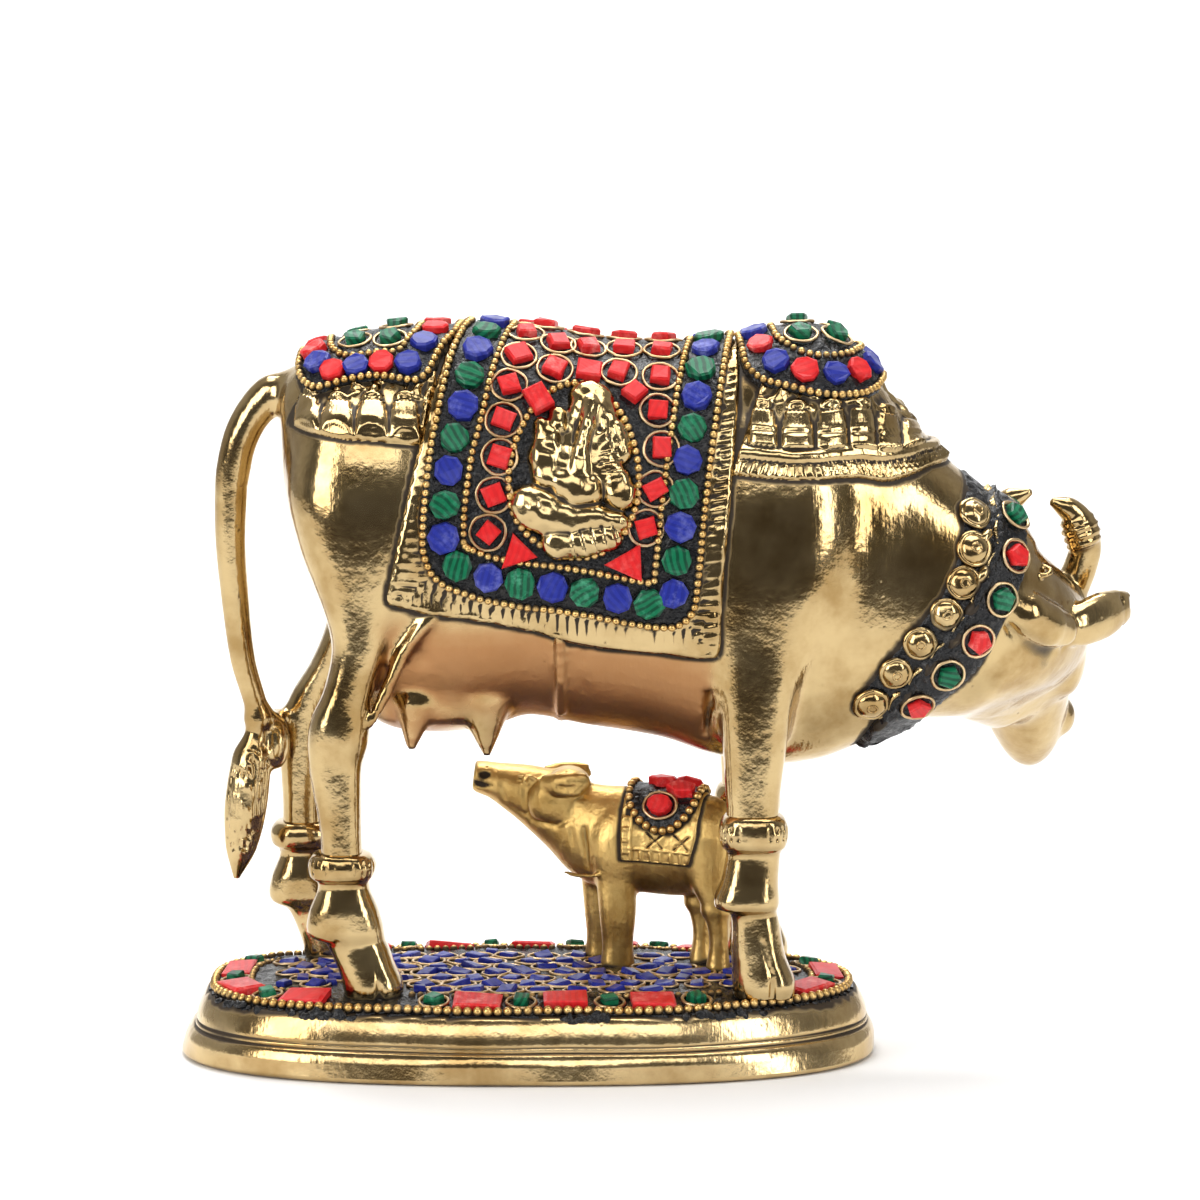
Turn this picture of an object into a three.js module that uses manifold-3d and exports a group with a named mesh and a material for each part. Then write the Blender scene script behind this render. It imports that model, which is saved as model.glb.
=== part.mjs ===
// Cast brass cow with her calf on an oval plinth, set with mosaic panels of stone chips.
// Millimetres, +Z up, +X towards the cow's head, origin at the centre of the plinth's underside.

import * as THREE from 'three';
import Module from 'manifold-3d';

const wasm = await Module();
wasm.setup();

// Plinth: half length, half depth and height of each step of its wall
const PLINTH_STEPS = [
  { z: 0, length: 78.6, depth: 41.6 },
  { z: 1.2, length: 80, depth: 43 },
  { z: 5, length: 80, depth: 43 },
  { z: 6.6, length: 78.6, depth: 41.6 },
  { z: 7.4, length: 76.6, depth: 39.8 },
  { z: 9.5, length: 76.8, depth: 40 },
  { z: 15.4, length: 74.6, depth: 38.2 },
  { z: 16.4, length: 73.6, depth: 37.4 },
];
const PLINTH_TOP = 16.4;
const PLINTH_SQUARENESS = 2.5;
const PLINTH_WAVE = 0.014;
const PLINTH_WAVE_FROM = 8;
const PLINTH_LOBES = 7;
const PLINTH_SIDES = 30;

// The worked side faces the viewer. Stones reach over the back as far as a limit in Y.
const NEAR = -1;
const FAR_LIMIT = 12;

// Fit between pieces that touch
const GAP = 0.35;

// Heights above the brass of the blanket, the resin beds and the stones
const SLAB = 1.7;
const BED = 1.3;
const STONE = 1;
const CAP_BED = 1.9;

// How deep chips, plates and bells are let into what they stand on, and how far a chip narrows to its top
const SUNK = { chip: 0.8, plate: 2, bell: 3, tassel: 1 };
const TAPER = 0.93;

// Long enough to cut right through the part
const THROUGH = 60;

// Sections of the trunk, rump to collar: the top and bottom points of each, then its half width
const TRUNK = [
  { top: [-56, 150], bottom: [-56, 143], half: 4 },
  { top: [-55, 154.5], bottom: [-55, 133], half: 11 },
  { top: [-51.5, 158.5], bottom: [-51.5, 118], half: 18 },
  { top: [-46, 161.5], bottom: [-46, 104], half: 22.5 },
  { top: [-38, 163.5], bottom: [-38, 87], half: 26 },
  { top: [-28, 165], bottom: [-28, 77], half: 28 },
  { top: [-14, 165.5], bottom: [-14, 76.5], half: 29 },
  { top: [0, 164.5], bottom: [0, 78], half: 29 },
  { top: [15, 162], bottom: [15, 75.5], half: 29 },
  { top: [30, 161], bottom: [30, 73], half: 28.5 },
  { top: [43, 161.5], bottom: [42, 69], half: 28 },
  { top: [52, 163.5], bottom: [51, 66.5], half: 27 },
  { top: [60, 166], bottom: [59, 66.5], half: 25.5 },
  { top: [67, 165.5], bottom: [66, 67.5], half: 24.5 },
  { top: [75, 161], bottom: [72, 69.5], half: 23.5 },
  { top: [80.5, 153], bottom: [77, 71.5], half: 22.5 },
  { top: [86.5, 145], bottom: [81, 73], half: 21.5 },
  { top: [93, 139.2], bottom: [83.5, 74.6], half: 21 },
  { top: [99.6, 133.4], bottom: [86.5, 76], half: 20.5 },
  { top: [106, 128.4], bottom: [89, 77.4], half: 20 },
  { top: [111.5, 124.8], bottom: [92.2, 78.8], half: 19 },
  { top: [114.5, 118], bottom: [99, 83], half: 14 },
];
const TRUNK_SQUARENESS = 2.25;
const TRUNK_SIDES = 16;
const NECK_SIDES = 12;
const HEAD_SIDES = 10;
const LIMB_SIDES = 6;

// Neck beyond the collar, turning away from the viewer: centre, half width, half height
const NECK = [
  { at: [94, 0, 102], half: 16, rise: 23 },
  { at: [103, 1.5, 100.5], half: 18, rise: 22.5 },
  { at: [109, 6, 98], half: 17, rise: 19 },
  { at: [114, 11.5, 96], half: 15, rise: 16.6 },
  { at: [117.5, 18, 94], half: 12.5, rise: 14.5 },
  { at: [118.5, 25, 92], half: 10, rise: 11 },
];
const NECK_UP = [0.4, 0, 0.92];

// Head, from the poll to the muzzle
const HEAD_X = 118.5;
const HEAD = [
  { at: [HEAD_X, 13.5, 101], half: 6, rise: 6 },
  { at: [HEAD_X, 16, 99], half: 11, rise: 11.5 },
  { at: [HEAD_X, 20, 95.5], half: 12.5, rise: 13.5 },
  { at: [HEAD_X, 26, 90], half: 12.3, rise: 13.3 },
  { at: [HEAD_X, 33, 82.5], half: 10.3, rise: 11.5 },
  { at: [HEAD_X + 0.4, 40, 74], half: 8.4, rise: 9.8 },
  { at: [HEAD_X + 0.9, 44.5, 68.3], half: 9.3, rise: 9.2 },
  { at: [HEAD_X + 1.1, 48, 64.2], half: 7.8, rise: 7.8 },
  { at: [HEAD_X + 1.1, 50.8, 61], half: 4.6, rise: 4.8 },
];
const HEAD_UP = [0, 0.75, 0.66];

// Horn and ear on the right of the head; the left ones are mirrored about HEAD_X
const HORN = [
  { at: [5, 19, 95], half: 4.2 },
  { at: [7.2, 18, 103], half: 4.1 },
  { at: [9.8, 17, 110], half: 3.9 },
  { at: [10.8, 16.2, 114.5], half: 3.8 },
  { at: [10.8, 15.8, 115.5], half: 4.6 },
  { at: [10, 15, 119], half: 4.4 },
  { at: [9.4, 14.7, 120], half: 3.5 },
  { at: [6, 13.2, 124], half: 2.7 },
  { at: [2.2, 12, 125.6], half: 0.9 },
];
const EAR = [
  { at: [3, 19, 97.5], half: 2.6, rise: 3.4 },
  { at: [8, 18.4, 98], half: 3, rise: 4.6 },
  { at: [13, 18, 99.5], half: 3.2, rise: 5.3 },
  { at: [17.5, 17.6, 100.8], half: 2.4, rise: 3.8 },
  { at: [20.3, 17.4, 101.4], half: 0.9, rise: 1.4 },
];

const EAR_SIDES = 8;

// Legs: at each height the back and front of the leg, then its centre line and half width in Y
const FOOT_BASE = PLINTH_TOP + GAP;
const HIND_LEG = [
  { z: 148, back: -50, front: -22, side: 13, half: 13.5 },
  { z: 132, back: -53, front: -21, side: 15, half: 14.5 },
  { z: 120, back: -50.5, front: -24, side: 17, half: 13 },
  { z: 109, back: -47, front: -27.5, side: 19, half: 11.2 },
  { z: 97, back: -43.6, front: -31, side: 20.5, half: 9 },
  { z: 87, back: -45.2, front: -34, side: 21.5, half: 7.5 },
  { z: 79, back: -48.2, front: -36, side: 22, half: 6.6 },
  { z: 72, back: -49, front: -37, side: 22, half: 6 },
  { z: 51.2, back: -46.2, front: -37, side: 22, half: 5.6 },
  { z: 49.4, back: -48, front: -35.2, side: 22, half: 7.2 },
  { z: 46.6, back: -49.2, front: -33.8, side: 22, half: 8.1 },
  { z: 43.4, back: -48, front: -35, side: 22, half: 7 },
  { z: 42.3, back: -47, front: -35, side: 22, half: 6.2 },
  { z: 31.5, back: -49.4, front: -32.2, side: 22, half: 7 },
  { z: 28.8, back: -45.4, front: -31.6, side: 22, half: 6.2 },
  { z: 19, back: -41.5, front: -27.8, side: 22, half: 7.4 },
  { z: FOOT_BASE, back: -41, front: -28, side: 22, half: 7 },
];
const FORE_LEG = [
  { z: 145, back: 44, front: 62, side: 11, half: 11 },
  { z: 128, back: 42, front: 72, side: 13, half: 13.5 },
  { z: 112, back: 42.5, front: 70, side: 15.5, half: 13 },
  { z: 98, back: 43, front: 65, side: 18, half: 11 },
  { z: 84, back: 43.5, front: 60.5, side: 20.5, half: 8.6 },
  { z: 72, back: 44.4, front: 58.5, side: 22, half: 6.8 },
  { z: 58.2, back: 45.2, front: 57, side: 22.5, half: 6 },
  { z: 57.4, back: 44.6, front: 58, side: 22.5, half: 7 },
  { z: 54.4, back: 43.4, front: 59.2, side: 22.5, half: 8 },
  { z: 50.6, back: 44.4, front: 58.2, side: 22.5, half: 7 },
  { z: 49.4, back: 45.2, front: 57.4, side: 22.5, half: 6.1 },
  { z: 38, back: 42.4, front: 57.2, side: 22.5, half: 7.4 },
  { z: 36, back: 45.8, front: 56.6, side: 22.5, half: 5.9 },
  { z: 19, back: 46.6, front: 61, side: 22.5, half: 7.2 },
  { z: FOOT_BASE, back: 47, front: 60.6, side: 22.5, half: 6.8 },
];
const LEG_SIDES = 8;

// The far hind leg is set back below the hock: shift in X at a height
const FAR_HIND_SHIFT = { most: -11.5, from: 112, to: 62 };
const farHind = (z) => {
  const { most, from, to } = FAR_HIND_SHIFT;
  return most * Math.min(1, Math.max(0, (from - z) / (from - to)));
};
const upright = () => 0;

// Tail, from the rump to the tip of its tuft
const TAIL = [
  { at: [-50, 0, 152], half: 5 },
  { at: [-57, 0, 151.5], half: 4.6 },
  { at: [-62.5, 0.5, 146.5], half: 4.2 },
  { at: [-65.8, 1, 139.5], half: 4 },
  { at: [-67.6, 2, 130], half: 3.8 },
  { at: [-68, 3.2, 118], half: 3.5 },
  { at: [-67.2, 5, 104], half: 3.2 },
  { at: [-65.8, 7, 90], half: 2.9 },
  { at: [-63.2, 9, 79.5], half: 2.7 },
  { at: [-62.3, 10, 75.5], half: 3.6 },
  { at: [-62.8, 10, 72], half: 2.8 },
  { at: [-64, 10, 66], half: 4.6 },
  { at: [-65.4, 10, 56], half: 5 },
  { at: [-66.6, 10, 46], half: 3.9 },
  { at: [-67.9, 10, 37.5], half: 0.7 },
];
const TAIL_UP = [1, 0, 0];
const TAIL_SIDES = 8;
const TAIL_TIE = [
  { at: [-62, 10, 75], half: 2.4 },
  { at: [-55, 22, 74], half: 2.4 },
];

// Udder and its near teats; the far teats are mirrored
const UDDER = { at: [-21, 0, 80], size: [15, 17, 8], sides: 10 };
const TEAT_POINT = 0.3;
const TEATS = [
  { root: [-11.5, -8, 80], tip: [-11, -9, 69.5], half: 3.6 },
  { root: [-25, -13, 80], tip: [-26, -14, 72], half: 3 },
];

// Blanket of brass and the mosaic on it: corners in the side view, over the back to both sides
const BLANKET = [[-17, 180], [-31.5, 104.5], [47, 93.5], [49.5, 180]];
const MOSAIC = [[-12.5, 180], [-25.3, 107.5], [38.3, 100.6], [48, 180]];
const TILE = 3.3;
const TILE_PITCH = 7.6;
const BORDER = 4.4;
const CHIP = 2.4;
const FIELD_PITCH = 10.6;
const ROW_LIFT = 1.5;
const FIELD_LIFT = 8;
const CHIP_SIDES = 4;
const TILE_SIDES = 5;

// Medallion in the middle of each side of the blanket
const MEDALLION = { x: 11, z: 132.5, half: 14.4, rise: 19.6 };
const MEDALLION_SIDES = 12;
const HOLE = { room: 1.3, depth: 6, height: 9 };

// Caps of mosaic on the rump and on the hump, in the side view
const RUMP_CAP = [
  [-56.5, 180], [-56.5, 156], [-50, 151.5], [-36, 152.8], [-23.6, 150.2], [-18, 180],
];
const HUMP_CAP = [[48.6, 180], [49.6, 162], [54, 155.4], [64, 152], [76, 150.8], [82, 152.5], [84, 180]];
const RUMP_ROWS = [
  [[-52, 156], [-44, 155], [-34, 156.4], [-26.5, 155], [-25.5, 160]],
  [[-42, 161], [-30, 162]],
];
const HUMP_ROWS = [
  [[53, 159.5], [58, 156.4], [66, 154.8], [76, 154.4]],
  [[58, 163], [70, 161]],
];
const RUMP_BAND = [[-52, 139], [-20, 138]];
const HUMP_BAND = [[49, 139.5], [84, 137.5]];
const HUMP_TRIM = [[47, 138.5], [47, 130], [90, 128], [90, 138.5]];
const BAND = 0.9;
const CAP_TILE = 3;
const CAP_PITCH = 7;
const RUMP_TASSELS = 4;
const HUMP_TASSELS = 5;
const TASSEL = { half: 2.5, rise: 4.2, proud: 2.3 };

// Collar: a band of stones and, behind it, a row of bells
const COLLAR_FRONT = 20;
const COLLAR_WIDTH = 8.4;
const COLLAR_FLARE = { rise: 0.13, half: 0.08 };
const COLLAR_REACH = 8;
const COLLAR_EDGE = 0.1;
const COLLAR_STONES = 6;
const COLLAR_STONE = { half: 3, from: 0.8, to: 3 };
const BELL = { half: 3.6, proud: 2.6, gap: 0.8, sides: 6 };
const BELLS = 7;

// Calf: sections as for the trunk, along an axis that runs slightly away from the viewer
const CALF_AXIS = { x: 18, y: 15, slope: -0.27 };
const CALF = [
  { top: [47.6, 50], bottom: [47.6, 44], half: 2 },
  { top: [46.6, 55], bottom: [46.6, 38.5], half: 6 },
  { top: [42.5, 57.4], bottom: [42.5, 34.6], half: 7.8 },
  { top: [34, 58.4], bottom: [34, 33.6], half: 8.8 },
  { top: [26, 58.6], bottom: [26, 34], half: 9 },
  { top: [19, 58.6], bottom: [17, 34.6], half: 8.8 },
  { top: [14.5, 59], bottom: [10, 38], half: 7.8 },
  { top: [11, 60], bottom: [4.5, 43.6], half: 6.8 },
  { top: [6, 61.6], bottom: [-1, 48.6], half: 6.2 },
  { top: [0, 62.6], bottom: [-6, 52.8], half: 5.6 },
  { top: [-7, 62.6], bottom: [-10, 55.6], half: 4.4 },
  { top: [-12.4, 62.4], bottom: [-13, 57.6], half: 3.6 },
];
const CALF_SIDES = 10;
const CALF_SQUARENESS = 2.1;
const CALF_FAR_STEP = -3.6;
const CALF_FORE_LEG = [
  { z: 47, back: 15.5, front: 25.5, side: 4.5, half: 4 },
  { z: 36, back: 16, front: 25.2, side: 5, half: 3.8 },
  { z: 29, back: 17, front: 24.2, side: 5.2, half: 3.2 },
  { z: 22, back: 17.2, front: 24.4, side: 5.2, half: 3.2 },
  { z: FOOT_BASE, back: 16.6, front: 25, side: 5.2, half: 3.7 },
];
const CALF_HIND_LEG = [
  { z: 48, back: 36.5, front: 46.6, side: 4, half: 4 },
  { z: 40, back: 36.8, front: 46.6, side: 4.6, half: 3.9 },
  { z: 32, back: 40.2, front: 46.4, side: 4.8, half: 3.2 },
  { z: 24, back: 42, front: 46.4, side: 4.8, half: 2.8 },
  { z: FOOT_BASE, back: 41, front: 47, side: 4.8, half: 3.4 },
];
const CALF_EAR = [
  { at: [3, -5, 57.5], half: 1.6, rise: 1.8 },
  { at: [7, -7.6, 57], half: 1.6, rise: 3 },
  { at: [11, -8.4, 57], half: 1.4, rise: 2.8 },
  { at: [14, -8, 58], half: 0.6, rise: 1 },
];
const CALF_PATCH = [[25.5, 70], [26.5, 51], [30, 46.8], [37, 46.8], [40.5, 51], [41.5, 70]];
const CALF_BED = 1.6;
const CALF_STONE = { half: 2.6, rise: 2.2, sides: 7 };
const CALF_STONES = [
  { x: 33.5, off: -6.8, z: 57, tilt: -0.9 },
  { x: 31.5, off: 0.5, z: 59.8, tilt: 0 },
  { x: 37, off: -1, z: 59.6, tilt: 0 },
];

// Mosaic on top of the plinth
const RIM = 1.4;
const GROUND = 0.9;
const EDGE_TILE = { length: 6, depth: 3, pitch: 15.4, inset: 4, sunk: 0.5 };
const EDGE_STEPS = 720;
const FIELD_TILE = { half: 3.4, pitch: 19, rows: 13, ends: 12, sides: 10 };
const FOOT_CLEARANCE = 1;
const FOOT_DEPTH = 3;

// Closed body over a row of rings with equal numbers of points
function skin(rings) {
  const sides = rings[0].length;
  const points = rings.flat();
  const faces = [];
  for (let i = 0; i + 1 < rings.length; i++) {
    for (let j = 0; j < sides; j++) {
      const a = i * sides + j;
      const b = i * sides + ((j + 1) % sides);
      faces.push([a, b, b + sides], [a, b + sides, a + sides]);
    }
  }
  const last = (rings.length - 1) * sides;
  const middle = (ring) => ring.reduce((sum, p) => sum.add(p), new THREE.Vector3()).divideScalar(sides);
  points.push(middle(rings[0]), middle(rings.at(-1)));
  for (let j = 0; j < sides; j++) {
    const k = (j + 1) % sides;
    faces.push([k, j, points.length - 2], [last + j, last + k, points.length - 1]);
  }
  return body(points, faces);
}

// Solid from points and faces, turned right side out
function body(points, faces) {
  const volume = faces.reduce(
    (sum, [a, b, c]) => sum + points[a].dot(new THREE.Vector3().crossVectors(points[b], points[c])),
    0,
  );
  const turned = volume < 0 ? faces.map(([a, b, c]) => [a, c, b]) : faces;
  return new wasm.Manifold(
    new wasm.Mesh({
      numProp: 3,
      vertProperties: new Float32Array(points.flatMap((p) => p.toArray())),
      triVerts: new Uint32Array(turned.flat()),
    }),
  );
}

function union(solids) {
  return solids.reduce((sum, solid) => sum.add(solid));
}

const signedPower = (value, power) => Math.sign(value) * Math.abs(value) ** power;

// Superellipse of half sizes along two directions
function ring(centre, across, half, up, rise, sides, squareness = 2) {
  const points = [];
  for (let j = 0; j < sides; j++) {
    const angle = (2 * Math.PI * (j + 0.5)) / sides;
    const a = half * signedPower(Math.cos(angle), 2 / squareness);
    const b = rise * signedPower(Math.sin(angle), 2 / squareness);
    points.push(centre.clone().addScaledVector(across, a).addScaledVector(up, b));
  }
  return points;
}

// Body whose sections are given by a top and a bottom point in the side view
function profiled(stations, sides, squareness, offset = 0, axis = () => 0) {
  const rings = stations.map(({ top, bottom, half }, i) => {
    const high = new THREE.Vector3(top[0], 0, top[1]);
    const low = new THREE.Vector3(bottom[0], 0, bottom[1]);
    const up = high.clone().sub(low);
    const rise = up.length() / 2 + offset;
    up.normalize();
    const centre = high.add(low).divideScalar(2);
    centre.y = axis(centre.x);
    if (i === 0) centre.x += Math.sign(stations[0].top[0] - stations[1].top[0]) * offset;
    return ring(centre, new THREE.Vector3(0, 1, 0), half + offset, up, rise, sides, squareness);
  });
  return skin(rings);
}

// Body along a bent spine
function limb(stations, sides, up = [0, 0, 1], offset = 0) {
  const centres = stations.map(({ at }) => new THREE.Vector3(...at));
  const rings = stations.map(({ half, rise = half }, i) => {
    const ahead = centres[Math.min(i + 1, centres.length - 1)];
    const along = ahead.clone().sub(centres[Math.max(i - 1, 0)]).normalize();
    const lift = new THREE.Vector3(...up).addScaledVector(along, -along.dot(new THREE.Vector3(...up)));
    lift.normalize();
    const across = new THREE.Vector3().crossVectors(along, lift);
    return ring(centres[i], across, half + offset, lift, rise + offset, sides);
  });
  return skin(rings);
}

// Standing leg with level sections; far is 1 on the far side and -1 on the near side
function leg(stations, sides, far, shift = upright, offset = 0, axis = upright) {
  const rings = stations.map(({ z, back, front, side, half }) => {
    const x = (back + front) / 2 + shift(z);
    const centre = new THREE.Vector3(x, axis(x) + far * side, z);
    const fore = new THREE.Vector3(1, 0, 0);
    const across = new THREE.Vector3(0, 1, 0);
    return ring(centre, fore, (front - back) / 2 + offset, across, half + offset, sides);
  });
  return skin(rings);
}

// Round lump of low facets, flat at both poles
const POLE = 0.06;
function lump(at, size, across, levels, offset) {
  const [width, depth, rise] = size.map((value) => value + offset);
  const rings = [];
  for (let i = 0; i <= levels; i++) {
    const angle = Math.PI * (POLE + ((1 - 2 * POLE) * i) / levels);
    const centre = new THREE.Vector3(at[0], at[1], at[2] - rise * Math.cos(angle));
    const reach = Math.sin(angle);
    rings.push(ring(
      centre, new THREE.Vector3(1, 0, 0), width * reach, new THREE.Vector3(0, 1, 0), depth * reach, across,
    ));
  }
  return skin(rings);
}

// Outline in the side view pushed through from one side to the other
function sidePrism(outline) {
  return skin([-THROUGH, THROUGH].map((y) => outline.map(([x, z]) => new THREE.Vector3(x, y, z))));
}

// Section of the trunk at a place along its length
function trunkAt(x) {
  const middle = ({ top, bottom }) => (top[0] + bottom[0]) / 2;
  const i = Math.max(1, TRUNK.findIndex((station) => middle(station) >= x));
  const [a, b] = [TRUNK[i - 1], TRUNK[i]];
  const t = (x - middle(a)) / (middle(b) - middle(a));
  const mix = (p, q) => p + (q - p) * t;
  const high = mix(a.top[1], b.top[1]);
  const low = mix(a.bottom[1], b.bottom[1]);
  return { centre: (high + low) / 2, rise: (high - low) / 2, half: mix(a.half, b.half) };
}

// Point on the side of the trunk and the direction straight out of it
function trunkSide(x, z, far, offset) {
  const { centre, rise, half } = trunkAt(x);
  const high = Math.min(1, Math.max(-1, (z - centre) / rise));
  const wide = (1 - Math.abs(high) ** TRUNK_SQUARENESS) ** (1 / TRUNK_SQUARENESS);
  const out = new THREE.Vector3(
    0,
    far * (wide ** (TRUNK_SQUARENESS - 1) / half),
    signedPower(high, TRUNK_SQUARENESS - 1) / rise,
  ).normalize();
  const at = new THREE.Vector3(x, far * half * wide, centre + rise * high);
  return { at: at.addScaledVector(out, offset), out };
}

// Short prism standing on a surface: flat chips, tiles and tassels
function chip({ at, out }, half, rise, sides, from, to) {
  const along = new THREE.Vector3(1, 0, 0).addScaledVector(out, -out.x).normalize();
  const up = new THREE.Vector3().crossVectors(out, along).normalize();
  const rings = [from, to].map((height) => {
    const shrink = height === to ? TAPER : 1;
    const centre = at.clone().addScaledVector(out, height);
    return ring(centre, along, half * shrink, up, rise * shrink, sides);
  });
  return skin(rings);
}

// Point on the trunk at a distance round its section from the top line
const ARC_STEP = Math.PI / 90;
function trunkOver(x, distance, offset) {
  const { centre, rise, half } = trunkAt(x);
  const onRing = (angle) => new THREE.Vector3(
    x,
    half * signedPower(Math.sin(angle), 2 / TRUNK_SQUARENESS),
    centre + rise * signedPower(Math.cos(angle), 2 / TRUNK_SQUARENESS),
  );
  let angle = 0;
  for (let left = Math.abs(distance); left > 0; angle += ARC_STEP) {
    left -= onRing(angle).distanceTo(onRing(angle + ARC_STEP));
  }
  const { z } = onRing(angle);
  return trunkSide(x, z, distance < 0 ? -1 : 1, offset);
}

// Points at an even pitch along an open line in the side view
function alongLine(corners, pitch) {
  const places = [];
  let travelled = pitch / 2;
  for (let i = 0; i + 1 < corners.length; i++) {
    const [a, b] = [corners[i], corners[i + 1]];
    const length = Math.hypot(b[0] - a[0], b[1] - a[1]);
    for (; travelled < length; travelled += pitch) {
      places.push([0, 1].map((k) => a[k] + ((b[k] - a[k]) * travelled) / length));
    }
    travelled -= length;
  }
  return places;
}

function trunk(offset = 0) {
  return profiled(TRUNK, TRUNK_SIDES, TRUNK_SQUARENESS, offset);
}

// Layer of the trunk inside an outline in the side view, up to a height above it
function layer(outline, height) {
  return trunk(height).intersect(sidePrism(outline));
}

// Seated figure on the medallion: lumps for the body, the crowned head, the arms and the folded legs
const FIGURE = [
  { at: [0.5, -3], size: [5.4, 7.4] },
  { at: [1.6, 10.4], size: [4.4, 5.6] },
  { at: [-6.6, 1], size: [2.6, 4.8] },
  { at: [7.6, 0], size: [2.6, 4.8] },
  { at: [0, -12], size: [11, 3.4] },
];
const FIGURE_PROUD = 3.4;

function medallion(far, offset) {
  const { x, z, half, rise } = MEDALLION;
  const spot = trunkSide(x, z, far, SLAB);
  const plate = chip(spot, half + offset, rise + offset, MEDALLION_SIDES, -SUNK.plate, BED + offset);
  const figure = (far === NEAR ? FIGURE : []).map(({ at, size }) => {
    const seat = trunkSide(x + at[0], z + at[1], far, SLAB);
    return lump([seat.at.x, seat.at.y, seat.at.z], [size[0], FIGURE_PROUD, size[1]], 6, 2, offset);
  });
  return union([plate, ...figure]);
}

// Row of tassels hanging below a cap
function tassels([start, end], count, far, offset) {
  const places = Array.from({ length: count }, (_, i) => (i + 0.5) / count);
  return places.map((t) => {
    const x = start[0] + (end[0] - start[0]) * t;
    const z = start[1] + (end[1] - start[1]) * t + TASSEL.rise;
    const spot = trunkSide(x, z, far, 0);
    const tassel = [TASSEL.half + offset, TASSEL.rise + offset].map((size) => size * Math.SQRT2);
    return chip(spot, ...tassel, CHIP_SIDES, -SUNK.tassel, TASSEL.proud + offset);
  });
}

// Point on the neck at the collar: angle 0 is on top, a half turn is below
function collarAt(angle, back) {
  const { top, bottom, half } = TRUNK[COLLAR_FRONT];
  const up = new THREE.Vector3(top[0] - bottom[0], 0, top[1] - bottom[1]);
  const rise = up.length() / 2 + back * COLLAR_FLARE.rise;
  up.normalize();
  const axis = new THREE.Vector3(up.z, 0, -up.x);
  const centre = new THREE.Vector3((top[0] + bottom[0]) / 2, 0, (top[1] + bottom[1]) / 2);
  centre.addScaledVector(axis, -back);
  const width = half + back * COLLAR_FLARE.half;
  const side = Math.sin(angle);
  const high = Math.cos(angle);
  const at = centre.clone();
  at.y += width * signedPower(side, 2 / TRUNK_SQUARENESS);
  at.addScaledVector(up, rise * signedPower(high, 2 / TRUNK_SQUARENESS));
  const out = new THREE.Vector3(0, side / width, 0).addScaledVector(up, high / rise).normalize();
  return { at, out };
}

// Angles of a row of pieces down the near side of the neck
function aroundNear(count) {
  return Array.from({ length: count }, (_, i) => -(Math.PI * (i + 0.5)) / count);
}

function bells(offset) {
  return aroundNear(BELLS).map((angle) => {
    const spot = collarAt(angle, COLLAR_WIDTH + BELL.half + BELL.gap);
    const half = BELL.half + offset;
    return chip(spot, half, half, BELL.sides, -SUNK.bell, BELL.proud + offset);
  });
}

const mirrored = ([x, y, z]) => [-x, y, z];
const onHead = (stations, side) => stations.map((station) => {
  const [x, y, z] = side > 0 ? station.at : mirrored(station.at);
  return { ...station, at: [HEAD_X + x, y, z] };
});

const horn = (side, offset) => limb(onHead(HORN, side), LIMB_SIDES, [0, 1, 0], offset);
const ear = (side, offset) => limb(onHead(EAR, side), EAR_SIDES, [0, 0, 1], offset);

function cowSolid(offset = 0) {
  const parts = [
    trunk(offset),
    limb(NECK, NECK_SIDES, NECK_UP, offset),
    limb(HEAD, HEAD_SIDES, HEAD_UP, offset),
    limb(TAIL, TAIL_SIDES, TAIL_UP, offset),
    limb(TAIL_TIE, LIMB_SIDES, [0, 0, 1], offset),
    lump(UDDER.at, UDDER.size, UDDER.sides, 4, offset),
    leg(HIND_LEG, LEG_SIDES, -1, upright, offset),
    leg(HIND_LEG, LEG_SIDES, 1, farHind, offset),
    leg(FORE_LEG, LEG_SIDES, -1, upright, offset),
    leg(FORE_LEG, LEG_SIDES, 1, upright, offset),
    layer(BLANKET, SLAB + offset),
    layer(HUMP_TRIM, BAND + offset),
    ...bells(offset),
    ...tassels(RUMP_BAND, RUMP_TASSELS, NEAR, offset),
    ...tassels(HUMP_BAND, HUMP_TASSELS, NEAR, offset),
  ];
  for (const side of [-1, 1]) {
    parts.push(horn(side, offset), ear(side, offset), medallion(side, offset));
    for (const { root, tip, half } of TEATS) {
      const flip = ([x, y, z]) => [x, -side * y, z];
      const ends = [{ at: flip(root), half }, { at: flip(tip), half: half * TEAT_POINT }];
      parts.push(limb(ends, LIMB_SIDES, [1, 0, 0], offset));
    }
  }
  return union(parts);
}

const calfAxis = (x) => CALF_AXIS.y + CALF_AXIS.slope * (x - CALF_AXIS.x);

// The calf's far legs stand a little behind the near ones
const calfStep = (side) => () => (side > 0 ? CALF_FAR_STEP : 0);

function calfTrunk(offset = 0) {
  return profiled(CALF, CALF_SIDES, CALF_SQUARENESS, offset, calfAxis);
}

function calfSolid() {
  const parts = [calfTrunk()];
  for (const side of [-1, 1]) {
    parts.push(leg(CALF_FORE_LEG, LEG_SIDES, side, calfStep(side), 0, calfAxis));
    parts.push(leg(CALF_HIND_LEG, LEG_SIDES, side, calfStep(side), 0, calfAxis));
    const seat = ([x, y, z]) => [x, calfAxis(x) - side * y, z];
    parts.push(limb(CALF_EAR.map(({ at, ...size }) => ({ at: seat(at), ...size })), LIMB_SIDES));
  }
  return union(parts);
}

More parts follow.
